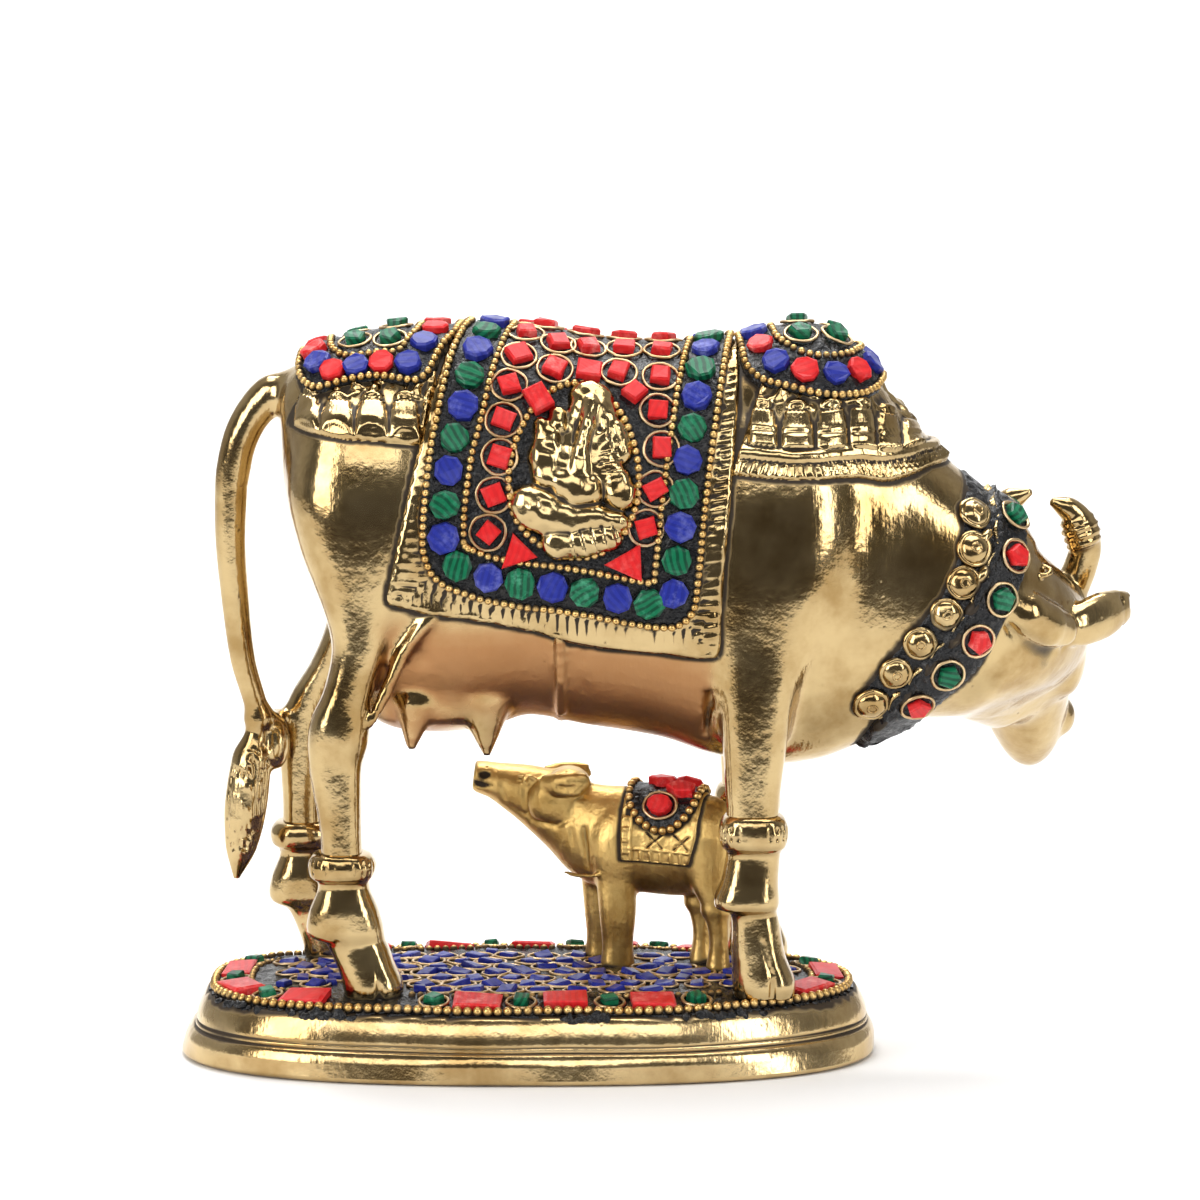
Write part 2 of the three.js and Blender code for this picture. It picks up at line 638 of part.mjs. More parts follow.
// Distance of the plinth's wall from its centre in a direction
function plinthPoint(angle, { length, depth }, z) {
  const c = Math.abs(Math.cos(angle) / length);
  const s = Math.abs(Math.sin(angle) / depth);
  const reach = (c ** PLINTH_SQUARENESS + s ** PLINTH_SQUARENESS) ** (-1 / PLINTH_SQUARENESS);
  const wave = PLINTH_WAVE * (Math.cos(PLINTH_LOBES * angle) - 1) * Math.min(1, z / PLINTH_WAVE_FROM);
  const wavy = reach * (1 + wave);
  return new THREE.Vector3(wavy * Math.cos(angle), wavy * Math.sin(angle), z);
}

function plinthRing(step, z, sides) {
  return Array.from({ length: sides }, (_, j) => plinthPoint((2 * Math.PI * (j + 0.5)) / sides, step, z));
}

function plinthSolid() {
  return skin(PLINTH_STEPS.map((step) => plinthRing(step, step.z, PLINTH_SIDES)));
}

// Tiles of one column that runs over the back from a place low on one side to the same on the other
function overBack(topX, [lowX, lowZ], pitch, half, sides) {
  const { centre, rise, half: wide } = trunkAt(lowX);
  const reach = (Math.acos((lowZ - centre) / rise) * (rise + wide)) / 2;
  const count = Math.round(reach / pitch);
  const places = Array.from({ length: 2 * count + 1 }, (_, i) => ((i - count) * reach) / count);
  return places.map((distance) => {
    const x = topX + ((lowX - topX) * Math.abs(distance)) / reach;
    return { spot: trunkOver(x, distance, SLAB + BED), half, sides };
  });
}

function blanketPanel() {
  const [topBack, lowBack, lowFront, topFront] = MOSAIC;
  const { x, z, half, rise } = MEDALLION;
  const back = [lowBack[0] + BORDER, lowBack[1] + BORDER + ROW_LIFT];
  const front = [lowFront[0] - BORDER, lowFront[1] + BORDER + ROW_LIFT];
  const field = BORDER + TILE_PITCH;
  const lowChips = [
    [back[0] + TILE_PITCH, back[1] + FIELD_LIFT],
    [front[0] - TILE_PITCH, front[1] + FIELD_LIFT],
  ];
  const set = [
    ...overBack(topBack[0] + BORDER, back, TILE_PITCH, TILE, TILE_SIDES),
    ...overBack(topFront[0] - BORDER, front, TILE_PITCH, TILE, TILE_SIDES),
    ...overBack(topBack[0] + field, lowChips[0], FIELD_PITCH, CHIP, CHIP_SIDES),
    ...overBack(topFront[0] - field, lowChips[1], FIELD_PITCH, CHIP, CHIP_SIDES),
  ].filter(({ spot }) => spot.at.y < FAR_LIMIT);
  for (const [a, b] of alongLine([back, front], TILE_PITCH).slice(0, -1)) {
    set.push({ spot: trunkSide(a, b - ROW_LIFT, NEAR, SLAB + BED), half: TILE, sides: TILE_SIDES });
  }
  const stones = set.map((stone) => chip(stone.spot, stone.half, stone.half, stone.sides, -SUNK.chip, STONE));
  const holes = [-1, 1].map((far) => {
    const seat = trunkSide(x, z, far, SLAB);
    return chip(seat, half + HOLE.room, rise + HOLE.room, MEDALLION_SIDES, -HOLE.depth, HOLE.height);
  });
  return union([layer(MOSAIC, SLAB + BED), ...stones]).subtract(union([...holes, trunk(SLAB + GAP)]));
}

function capPanel(outline, rows, room) {
  const places = rows.flatMap((row) => alongLine(row, CAP_PITCH));
  const stones = places.map(([x, z]) => (
    chip(trunkSide(x, z, NEAR, CAP_BED), CAP_TILE, CAP_TILE, TILE_SIDES, -SUNK.chip, STONE)));
  return union([layer(outline, CAP_BED), ...stones]).subtract(union([trunk(GAP), ...room]));
}

function collarPanel(room) {
  const { top, bottom } = TRUNK[COLLAR_FRONT];
  const up = new THREE.Vector2(top[0] - bottom[0], top[1] - bottom[1]).normalize();
  const corner = (point, back, reach) => [
    point[0] - up.y * back + up.x * reach, point[1] + up.x * back + up.y * reach,
  ];
  const outline = [
    corner(top, COLLAR_EDGE, COLLAR_REACH),
    corner(top, COLLAR_WIDTH, COLLAR_REACH),
    corner(bottom, COLLAR_WIDTH, -COLLAR_REACH),
    corner(bottom, COLLAR_EDGE, -COLLAR_REACH),
  ];
  const { half, from, to } = COLLAR_STONE;
  const stones = aroundNear(COLLAR_STONES).map((angle) => (
    chip(collarAt(angle, COLLAR_WIDTH / 2), half, half, TILE_SIDES, from, to)));
  return union([layer(outline, CAP_BED), ...stones]).subtract(union(room));
}

function calfPanel() {
  const patch = calfTrunk(CALF_BED).intersect(sidePrism(CALF_PATCH)).subtract(calfTrunk(GAP));
  const { half, rise, sides } = CALF_STONE;
  const stones = CALF_STONES.map(({ x, off, z, tilt }) => {
    const at = new THREE.Vector3(x, calfAxis(x) + off, z);
    const out = new THREE.Vector3(0, Math.sin(tilt), Math.cos(tilt));
    return chip({ at, out }, half, rise, sides, -SUNK.chip, STONE);
  });
  return union([patch, ...stones]);
}

// Tiles along the plinth's edge
function edgeTiles({ length, depth }, high) {
  const edge = { length: length - EDGE_TILE.inset, depth: depth - EDGE_TILE.inset };
  const turn = (2 * Math.PI) / EDGE_STEPS;
  const walk = Array.from({ length: EDGE_STEPS }, (_, i) => plinthPoint(turn * i, edge, high));
  const tiles = [];
  let travelled = 0;
  for (let i = 1; i < walk.length; i++) {
    travelled += walk[i].distanceTo(walk[i - 1]);
    if (travelled < EDGE_TILE.pitch) continue;
    travelled -= EDGE_TILE.pitch;
    tiles.push(flatTile(walk[i], walk[i].clone().sub(walk[i - 1]), EDGE_TILE.length, EDGE_TILE.depth));
  }
  return tiles;
}

// Loose chips in three rows inside the border
function fieldTiles({ length, depth }, high) {
  const { half, pitch, rows, ends, sides } = FIELD_TILE;
  const tiles = [];
  for (let row = -1; row <= 1; row++) {
    for (let column = -4; column <= 4; column++) {
      const spot = new THREE.Vector3((column + row / 2) * pitch, row * rows, high);
      if (Math.hypot(spot.x / (length - ends), spot.y / (depth - sides)) > 1) continue;
      const turn = new THREE.Vector3(Math.cos(row + column), Math.sin(row * 2 + column), 0);
      tiles.push(flatTile(spot, turn, half, half));
    }
  }
  return tiles;
}

// Bed on top of the plinth with its stones, with holes where the hooves stand
function plinthPanel() {
  const top = PLINTH_STEPS.at(-1);
  const bed = { length: top.length - RIM, depth: top.depth - RIM };
  const low = PLINTH_TOP + GAP;
  const high = low + GROUND;
  const slab = skin([low, high].map((z) => plinthRing(bed, z, PLINTH_SIDES)));
  const tiles = [...edgeTiles(bed, high), ...fieldTiles(bed, high)];
  return union([slab, ...tiles]).subtract(union(feet(FOOT_CLEARANCE)));
}

function flatTile(centre, direction, length, depth) {
  const along = direction.clone().setZ(0).normalize();
  const across = new THREE.Vector3(-along.y, along.x, 0);
  const corners = [[-1, -1], [1, -1], [1, 1], [-1, 1]];
  return skin([-EDGE_TILE.sunk, STONE].map((height) => corners.map(([a, b]) => centre.clone()
    .addScaledVector(along, a * length).addScaledVector(across, b * depth).setZ(centre.z + height))));
}

// The lowest part of every leg, swollen by a clearance and run down through the bed
function feet(clearance) {
  const low = (stations) => [...stations.slice(-3), { ...stations.at(-1), z: PLINTH_TOP - FOOT_DEPTH }];
  return [
    leg(low(HIND_LEG), LEG_SIDES, -1, upright, clearance),
    leg(low(HIND_LEG), LEG_SIDES, 1, farHind, clearance),
    leg(low(FORE_LEG), LEG_SIDES, -1, upright, clearance),
    leg(low(FORE_LEG), LEG_SIDES, 1, upright, clearance),
    leg(low(CALF_FORE_LEG), LEG_SIDES, -1, calfStep(-1), clearance, calfAxis),
    leg(low(CALF_FORE_LEG), LEG_SIDES, 1, calfStep(1), clearance, calfAxis),
    leg(low(CALF_HIND_LEG), LEG_SIDES, -1, calfStep(-1), clearance, calfAxis),
    leg(low(CALF_HIND_LEG), LEG_SIDES, 1, calfStep(1), clearance, calfAxis),
  ];
}

const FINISH = {
  brass: { color: 0xb5923f, roughness: 0.28, metalness: 1 },
  calf_brass: { color: 0xb08d3a, roughness: 0.42, metalness: 1 },
  blue_stone: { color: 0x24307f, roughness: 0.5, metalness: 0 },
  red_stone: { color: 0xc2282c, roughness: 0.45, metalness: 0 },
};

function piece(name, solid, finish) {
  const { vertProperties, triVerts } = solid.getMesh();
  const geometry = new THREE.BufferGeometry();
  geometry.setAttribute('position', new THREE.BufferAttribute(vertProperties, 3));
  geometry.setIndex(new THREE.BufferAttribute(triVerts, 1));
  const mesh = new THREE.Mesh(geometry, new THREE.MeshStandardMaterial(FINISH[finish]));
  mesh.name = name;
  return mesh;
}

const headRoom = [
  trunk(GAP),
  limb(NECK, NECK_SIDES, NECK_UP, GAP),
  limb(HEAD, HEAD_SIDES, HEAD_UP, GAP),
  ear(-1, GAP),
  horn(-1, GAP),
];
const rumpRoom = [
  limb(TAIL, TAIL_SIDES, TAIL_UP, GAP),
  leg(HIND_LEG.slice(0, 3), LEG_SIDES, NEAR, upright, GAP),
  leg(HIND_LEG.slice(0, 3), LEG_SIDES, -NEAR, farHind, GAP),
  ...tassels(RUMP_BAND, RUMP_TASSELS, NEAR, GAP),
];

const humpRoom = tassels(HUMP_BAND, HUMP_TASSELS, NEAR, GAP);

const group = new THREE.Group();
group.add(
  piece('plinth', plinthSolid(), 'brass'),
  piece('cow', cowSolid(), 'brass'),
  piece('calf', calfSolid(), 'calf_brass'),
  piece('plinth_mosaic', plinthPanel(), 'blue_stone'),
  piece('rump_mosaic', capPanel(RUMP_CAP, RUMP_ROWS, rumpRoom), 'blue_stone'),
  piece('blanket_mosaic', blanketPanel(), 'red_stone'),
  piece('hump_mosaic', capPanel(HUMP_CAP, HUMP_ROWS, humpRoom), 'blue_stone'),
  piece('collar_mosaic', collarPanel(headRoom), 'red_stone'),
  piece('calf_mosaic', calfPanel(), 'red_stone'),
);
export default group;
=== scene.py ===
"""Scene of a cast brass cow and calf with mosaic panels, built in millimetres in the frame's space."""

import logging
import math
from dataclasses import dataclass, field
from enum import Enum
from typing import Callable, Dict, Iterable, Optional, Sequence, Union

import bpy
import numpy as np
import openvdb as vdb
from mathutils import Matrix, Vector
from mathutils.bvhtree import BVHTree


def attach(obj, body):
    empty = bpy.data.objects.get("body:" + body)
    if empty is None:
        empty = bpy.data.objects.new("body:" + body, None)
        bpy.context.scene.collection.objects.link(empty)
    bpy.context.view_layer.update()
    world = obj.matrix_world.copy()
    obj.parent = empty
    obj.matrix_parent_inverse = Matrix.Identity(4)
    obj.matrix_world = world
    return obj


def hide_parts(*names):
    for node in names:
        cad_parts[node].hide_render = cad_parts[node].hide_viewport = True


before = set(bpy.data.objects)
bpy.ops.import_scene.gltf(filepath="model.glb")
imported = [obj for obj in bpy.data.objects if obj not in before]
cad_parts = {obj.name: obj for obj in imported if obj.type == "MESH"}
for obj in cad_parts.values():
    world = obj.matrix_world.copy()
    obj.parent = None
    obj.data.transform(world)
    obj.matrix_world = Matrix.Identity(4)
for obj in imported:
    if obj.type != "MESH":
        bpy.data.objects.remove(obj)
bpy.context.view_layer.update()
log = logging.getLogger("cow_and_calf")

MM = 0.001
NEAR = -1
FAR = 1
SQUARENESS = 2.25
LEG_SQUARENESS = 2.7
PLINTH_TOP = 16.4
FOOT_BASE = PLINTH_TOP + 0.1

# Sections of the trunk, rump to collar: top (x, z), bottom (x, z), half width
TRUNK = (
    ((-56, 150), (-56, 143), 4), ((-55, 154.5), (-55, 133), 11), ((-51.5, 158.5), (-51.5, 118), 18),
    ((-46, 161.5), (-46, 104), 22.5), ((-38, 163.5), (-38, 87), 26), ((-28, 165), (-28, 77), 28),
    ((-14, 165.5), (-14, 76.5), 29), ((0, 164.5), (0, 78), 29), ((15, 162), (15, 75.5), 29),
    ((30, 161), (30, 73), 28.5), ((43, 161.5), (42, 69), 28), ((52, 163.5), (51, 66.5), 27),
    ((60, 166), (59, 66.5), 25.5), ((67, 165.5), (66, 67.5), 24.5), ((75, 161), (72, 69.5), 23.5),
    ((80.5, 153), (77, 71.5), 22.5), ((86.5, 145), (81, 73), 21.5), ((93, 139.2), (83.5, 74.6), 21),
    ((99.6, 133.4), (86.5, 76), 20.5), ((106, 128.4), (89, 77.4), 20), ((111.5, 124.8), (92.2, 78.8), 19),
    ((114.5, 118), (99, 83), 14),
)
# Neck and head along a bent spine: centre, half width, half height
NECK = (
    ((94, 0, 102), 16, 23), ((103, 1.5, 100.5), 18, 22.5), ((109, 6, 98), 17, 19),
    ((114, 11.5, 96), 15, 16.6), ((117.5, 18, 94), 12.5, 14.5), ((118.5, 25, 92), 10, 11),
)
NECK_UP = (0.4, 0, 0.92)
HEAD_X = 118.5
HEAD = (
    ((118.5, 13.5, 101), 6, 6), ((118.5, 16, 99), 10.4, 11.5), ((118.5, 20, 95.5), 11.4, 13.5),
    ((118.3, 26, 90), 11, 13.3), ((118.4, 33, 82.5), 9.8, 12), ((118.5, 40, 74), 9.2, 10.8),
    ((118.9, 44.5, 68.3), 8.2, 9.2), ((119.4, 48, 64.2), 6.2, 7.4), ((119.7, 50.8, 61), 3.4, 4.5),
)
HEAD_UP = (0, 0.75, 0.66)
# Horn and ear to the right of the middle of the head: place relative to it, half width, half height
HORN = (
    ((5, 19, 95), 4.2, 4.2), ((7.2, 18, 103), 4.1, 4.1), ((9.8, 17, 110), 3.9, 3.9),
    ((10.8, 16.2, 114.5), 3.7, 3.7), ((10, 15, 119), 3.5, 3.5), ((6, 13.2, 124), 2.7, 2.7),
    ((2.2, 12, 125.6), 0.9, 0.9),
)
EAR = (
    ((4, -1, 97.6), 3, 3.8), ((8, 1, 98.2), 3.8, 5), ((13, 5, 99.6), 3.8, 5.5),
    ((17.4, 9, 100.9), 3, 4.6), ((20.6, 12, 101.8), 1.8, 2.9),
)
# Legs: height, back and front of the leg, distance of its middle from the centre plane, half width
HIND_LEG = (
    (148, -50, -22, 13, 13.5), (132, -53, -21, 15, 14.5), (120, -50.5, -24, 17, 13),
    (109, -47, -27.5, 19, 11.2), (97, -43.6, -31, 20.5, 9), (87, -45.2, -34, 21.5, 7.5),
    (79, -48.2, -36, 22, 6.6), (72, -49, -37, 22, 6), (51.2, -46.2, -37, 22, 5.6),
    (45, -46.4, -36.6, 22, 5.6),
)
HIND_FOOT = (
    (49.6, -46.4, -36.8, 22, 5.6), (49.2, -47.8, -35.4, 22, 7), (46.6, -49.2, -33.8, 22, 8.1),
    (44, -48.6, -34.6, 22, 7.5), (43.2, -47.2, -35.4, 22, 6.4), (42.4, -46.9, -35.4, 22, 6.2),
    (36, -49, -33.2, 22, 7), (32, -49.6, -32.2, 22, 7), (30.6, -49, -32, 22, 6.8),
    (28.8, -45.4, -31.6, 22, 6.2), (24, -43, -29.8, 22, 6.8), (19, -41.5, -27.8, 22, 7.4),
    (FOOT_BASE, -41, -28, 22, 7),
)
FORE_LEG = (
    (145, 44, 62, 11, 11), (128, 42, 72, 13, 13.5), (112, 42.5, 70, 15.5, 13), (98, 43, 65, 18, 11),
    (84, 43.5, 60.5, 20.5, 8.6), (72, 44.4, 58.5, 22, 6.8), (58.2, 45.2, 57, 22.5, 6),
    (52, 45.6, 57, 22.5, 6),
)
FORE_FOOT = (
    (58.4, 45.8, 56.8, 22.5, 6), (57.9, 44.6, 58, 22.5, 7), (54.4, 43.4, 59.2, 22.5, 8),
    (51, 44, 58.6, 22.5, 7.4), (50.2, 45.2, 57.6, 22.5, 6.3), (49.4, 45.2, 57.4, 22.5, 6.1),
    (44, 44.2, 57, 22.5, 6.6), (38.4, 42.4, 57.2, 22.5, 7.4), (37.2, 42.6, 57, 22.5, 7.2),
    (36, 46, 56.6, 22.5, 5.8), (26, 46.4, 58.6, 22.5, 6.6), (19, 46.6, 61, 22.5, 7.2),
    (FOOT_BASE, 47, 60.6, 22.5, 6.8),
)
TAIL = (
    ((-50, 0, 152), 5, 5), ((-57, 0, 151.5), 4.6, 4.6), ((-62.5, 0.5, 146.5), 4.2, 4.2),
    ((-65.8, 1, 139.5), 4, 4), ((-67.6, 2, 130), 3.8, 3.8), ((-68, 3.2, 118), 3.5, 3.5),
    ((-67.2, 5, 104), 3.2, 3.2), ((-65.8, 7, 90), 2.9, 2.9), ((-63.2, 9, 79.5), 2.7, 2.7),
    ((-62.3, 10, 75.5), 3.6, 3.6), ((-62.8, 10, 72), 2.8, 2.8), ((-64, 10, 66), 4.6, 4.6),
    ((-65.4, 10, 56), 5, 5), ((-66.6, 10, 46), 3.9, 3.9), ((-67.9, 10, 37.5), 0.7, 0.7),
)
FAR_HIND_MOST = -11.5
FAR_HIND_FROM = 112
FAR_HIND_TO = 62
# Calf: sections as for the trunk, its axis in plan, its legs and its ear
CALF = (
    ((47.6, 50), (47.6, 44), 2), ((46.6, 55), (46.6, 38.5), 6), ((42.5, 57.4), (42.5, 34.6), 7.8),
    ((34, 58.4), (34, 33.6), 8.8), ((26, 58.6), (26, 34), 9), ((19, 58.6), (17, 34.6), 8.8),
    ((14.5, 59), (10, 38), 7.8), ((11, 60), (4.5, 43.6), 6.8), ((6, 61.6), (-1, 48.6), 6.2),
    ((0, 62.6), (-5.6, 52.2), 5.8), ((-7, 62.9), (-9.6, 54.9), 5), ((-12, 63.2), (-13, 56.3), 4.4),
    ((-12.6, 62.8), (-13.3, 57), 3.8),
)
CALF_FORE_LEG = (
    (47, 15.5, 25.5, 4.5, 4), (36, 16, 25.2, 5, 3.8), (29, 16.6, 25, 5.2, 3.7),
    (22, 17.2, 24.4, 5.2, 3.2), (FOOT_BASE, 16.6, 25, 5.2, 3.7),
)
CALF_HIND_LEG = (
    (48, 36.5, 46.6, 4, 4), (40, 36.8, 46.6, 4.6, 3.9), (32, 40.2, 46.4, 4.8, 3.2),
    (24, 42, 46.4, 4.8, 2.8), (FOOT_BASE, 41, 47, 4.8, 3.4),
)
CALF_EAR = (
    ((3.4, -6.2, 60), 1.5, 1.6), ((7, -8, 59.6), 1.6, 2.8), ((11, -8, 59.8), 1.4, 3),
    ((14.2, -7, 61.2), 0.7, 1.5),
)
CALF_FAR_STEP = -3.6

Array = np.ndarray
Given = Union[float, Sequence[float], bpy.types.NodeSocket]


def unit(vectors: Array) -> Array:
    """Vectors of length 1."""
    return vectors / np.maximum(np.linalg.norm(vectors, axis=-1, keepdims=True), 1e-9)


def signed_power(value: Array, power: float) -> Array:
    """A power that keeps the sign."""
    return np.sign(value) * np.abs(value) ** power


def smoothstep(low: float, high: float, value: Array) -> Array:
    """Soft step from 0 at low to 1 at high."""
    t = np.clip((value - low) / (high - low), 0, 1)
    return t * t * (3 - 2 * t)


def glide(times: Array, values: Array, wanted: Array) -> Array:
    """Cubic through rows of values that doesn't overshoot.

    Args:
        times: rising parameter of each row.
        values: one row per parameter.
        wanted: parameters to evaluate at.

    Returns:
        One row per wanted parameter.
    """
    gap = np.diff(times)[:, None]
    slope = np.diff(values, axis=0) / gap
    tangent = np.zeros_like(values)
    before, after = slope[:-1], slope[1:]
    same = before * after > 0
    weigh_before, weigh_after = 2 * gap[1:] + gap[:-1], gap[1:] + 2 * gap[:-1]
    safe = lambda s: np.where(same, s, 1)
    mean = (weigh_before + weigh_after) / (weigh_before / safe(before) + weigh_after / safe(after))
    tangent[1:-1] = np.where(same, mean, 0)
    tangent[0], tangent[-1] = slope[0], slope[-1]
    i = np.clip(np.searchsorted(times, wanted) - 1, 0, len(times) - 2)
    h = gap[i]
    t = ((wanted - times[i])[:, None]) / h
    return (
        (2 * t ** 3 - 3 * t ** 2 + 1) * values[i] + (t ** 3 - 2 * t ** 2 + t) * h * tangent[i]
        + (3 * t ** 2 - 2 * t ** 3) * values[i + 1] + (t ** 3 - t ** 2) * h * tangent[i + 1]
    )


@dataclass
class Shell:
    """Closed mesh as arrays: points in millimetres, quads and triangles."""

    points: Array
    quads: Array
    triangles: Array = field(default_factory=lambda: np.zeros((0, 3), int))

    def tree(self) -> BVHTree:
        """Search tree over the faces."""
        faces = [*map(tuple, self.quads.tolist()), *map(tuple, self.triangles.tolist())]
        return BVHTree.FromPolygons(self.points.tolist(), faces)

    def object(self, name: str, smooth: bool = True) -> bpy.types.Object:
        """Adds the mesh to the scene, in metres.

        Args:
            name: the piece's name.
            smooth: whether the faces are shaded smooth.

        Returns:
            The new object.
        """
        mesh = bpy.data.meshes.new(name)
        corners = np.concatenate([self.quads.ravel(), self.triangles.ravel()]).astype(np.int32)
        sizes = np.array([4] * len(self.quads) + [3] * len(self.triangles), np.int32)
        mesh.vertices.add(len(self.points))
        mesh.vertices.foreach_set("co", (self.points * MM).astype(np.float32).ravel())
        mesh.loops.add(len(corners))
        mesh.loops.foreach_set("vertex_index", corners)
        mesh.polygons.add(len(sizes))
        mesh.polygons.foreach_set("loop_start", np.concatenate([[0], np.cumsum(sizes)[:-1]]).astype(np.int32))
        mesh.update(calc_edges=True)
        mesh.validate()
        if smooth:
            mesh.shade_smooth()
        made = bpy.data.objects.new(name, mesh)
        bpy.context.scene.collection.objects.link(made)
        return made


def stretched(rings: Array) -> Shell:
    """Closed shell over rows of rings of equal size, shape (rows, sides, 3).

    Args:
        rings: rows of points, from end to end.

    Returns:
        The closed shape.
    """
    rows, sides, _ = rings.shape
    index = np.arange(rows * sides).reshape(rows, sides)
    after = np.roll(index, -1, axis=1)
    quads = np.stack([index[:-1], after[:-1], after[1:], index[1:]], axis=-1).reshape(-1, 4)
    points = np.concatenate([rings.reshape(-1, 3), rings[0].mean(0)[None], rings[-1].mean(0)[None]])
    first = np.stack([after[0], index[0], np.full(sides, rows * sides)], axis=-1)
    last = np.stack([index[-1], after[-1], np.full(sides, rows * sides + 1)], axis=-1)
    return Shell(points, quads, np.concatenate([first, last]))


def lofted(centres: Array, across: Array, lift: Array, sizes: Array, squareness: float = 2.0) -> Shell:
    """Shell through sections that are resampled smoothly.

    Args:
        centres: centre of each section.
        across: direction of its width.
        lift: direction of its height.
        sizes: half width and half height of each.
        squareness: exponent of the superellipse.

    Returns:
        A closed shell.
    """
    rows = np.hstack([centres, across, lift, sizes]).astype(float)
    steps = np.linalg.norm(np.diff(rows[:, :3], axis=0), axis=1) + np.abs(np.diff(sizes, axis=0)).sum(1) * 0.5
    times = np.concatenate([[0], np.cumsum(np.maximum(steps, 0.2))])
    wanted = np.unique(np.concatenate([times, np.arange(0, times[-1], 1.0)]))
    dense = glide(times, rows, wanted)
    angle = 2 * np.pi * (np.arange(64) + 0.5) / 64
    wide = signed_power(np.cos(angle), 2 / squareness)[None, :, None]
    high = signed_power(np.sin(angle), 2 / squareness)[None, :, None]
    side, up = unit(dense[:, None, 3:6]), unit(dense[:, None, 6:9])
    return stretched(
        dense[:, None, :3] + side * wide * dense[:, None, 9:10] + up * high * dense[:, None, 10:11]
    )


def profiled(stations: Sequence, squareness: float, axis: Callable[[Array], Array] = np.zeros_like) -> Shell:
    """Shell whose sections are given by a top and a bottom point in the side view.

    Args:
        stations: top (x, z), bottom (x, z) and half width of each section.
        squareness: exponent of the superellipse.
        axis: Y of the middle at an X.

    Returns:
        A closed shell.
    """
    top = np.array([[s[0][0], 0, s[0][1]] for s in stations], float)
    low = np.array([[s[1][0], 0, s[1][1]] for s in stations], float)
    centres = (top + low) / 2
    centres[:, 1] = axis(centres[:, 0])
    sizes = np.stack([[s[2] for s in stations], np.linalg.norm(top - low, axis=1) / 2], axis=-1)
    across = np.tile([0.0, 1.0, 0.0], (len(stations), 1))
    return lofted(centres, across, unit(top - low), sizes, squareness)


def limb(stations: Sequence, up: Sequence[float] = (0, 0, 1)) -> Shell:
    """Shell along a bent spine of (centre, half width, half height).

    Args:
        stations: centre and sizes along the limb.
        up: direction of its lift.

    Returns:
        The closed shape.
    """
    centres = np.array([s[0] for s in stations], float)
    along = unit(np.gradient(centres, axis=0))
    lift = unit(np.array(up, float) - along * (along @ np.array(up, float))[:, None])
    sizes = np.array([s[1:] for s in stations], float)
    return lofted(centres, np.cross(along, lift), lift, sizes)


def far_hind(z: Array) -> Array:
    """Shift in X of the far hind leg at a height."""
    return FAR_HIND_MOST * np.clip((FAR_HIND_FROM - z) / (FAR_HIND_FROM - FAR_HIND_TO), 0, 1)


def leg(stations: Sequence, side: int, shift: Callable = np.zeros_like,
        axis: Callable = np.zeros_like) -> Shell:
    """Standing leg with level sections.

    Args:
        stations: height, back, front, distance from the centre plane and half width.
        side: FAR or NEAR.
        shift: shift in X at a height.
        axis: Y of the centre plane at an X.

    Returns:
        A closed shell.
    """
    z, back, front, off, half = np.array(stations, float).T
    x = (back + front) / 2 + shift(z)
    centres = np.stack([x, axis(x) + side * off, z], axis=-1)
    across = np.tile([1.0, 0.0, 0.0], (len(z), 1))
    lift = np.tile([0.0, 1.0, 0.0], (len(z), 1))
    return lofted(centres, across, lift, np.stack([(front - back) / 2, half], axis=-1), LEG_SQUARENESS)


def mirrored(stations: Sequence, side: int, middle: float) -> list:
    """Stations of a limb placed to one side of a middle X."""
    return [((middle + side * at[0], at[1], at[2]), *sizes) for at, *sizes in stations]


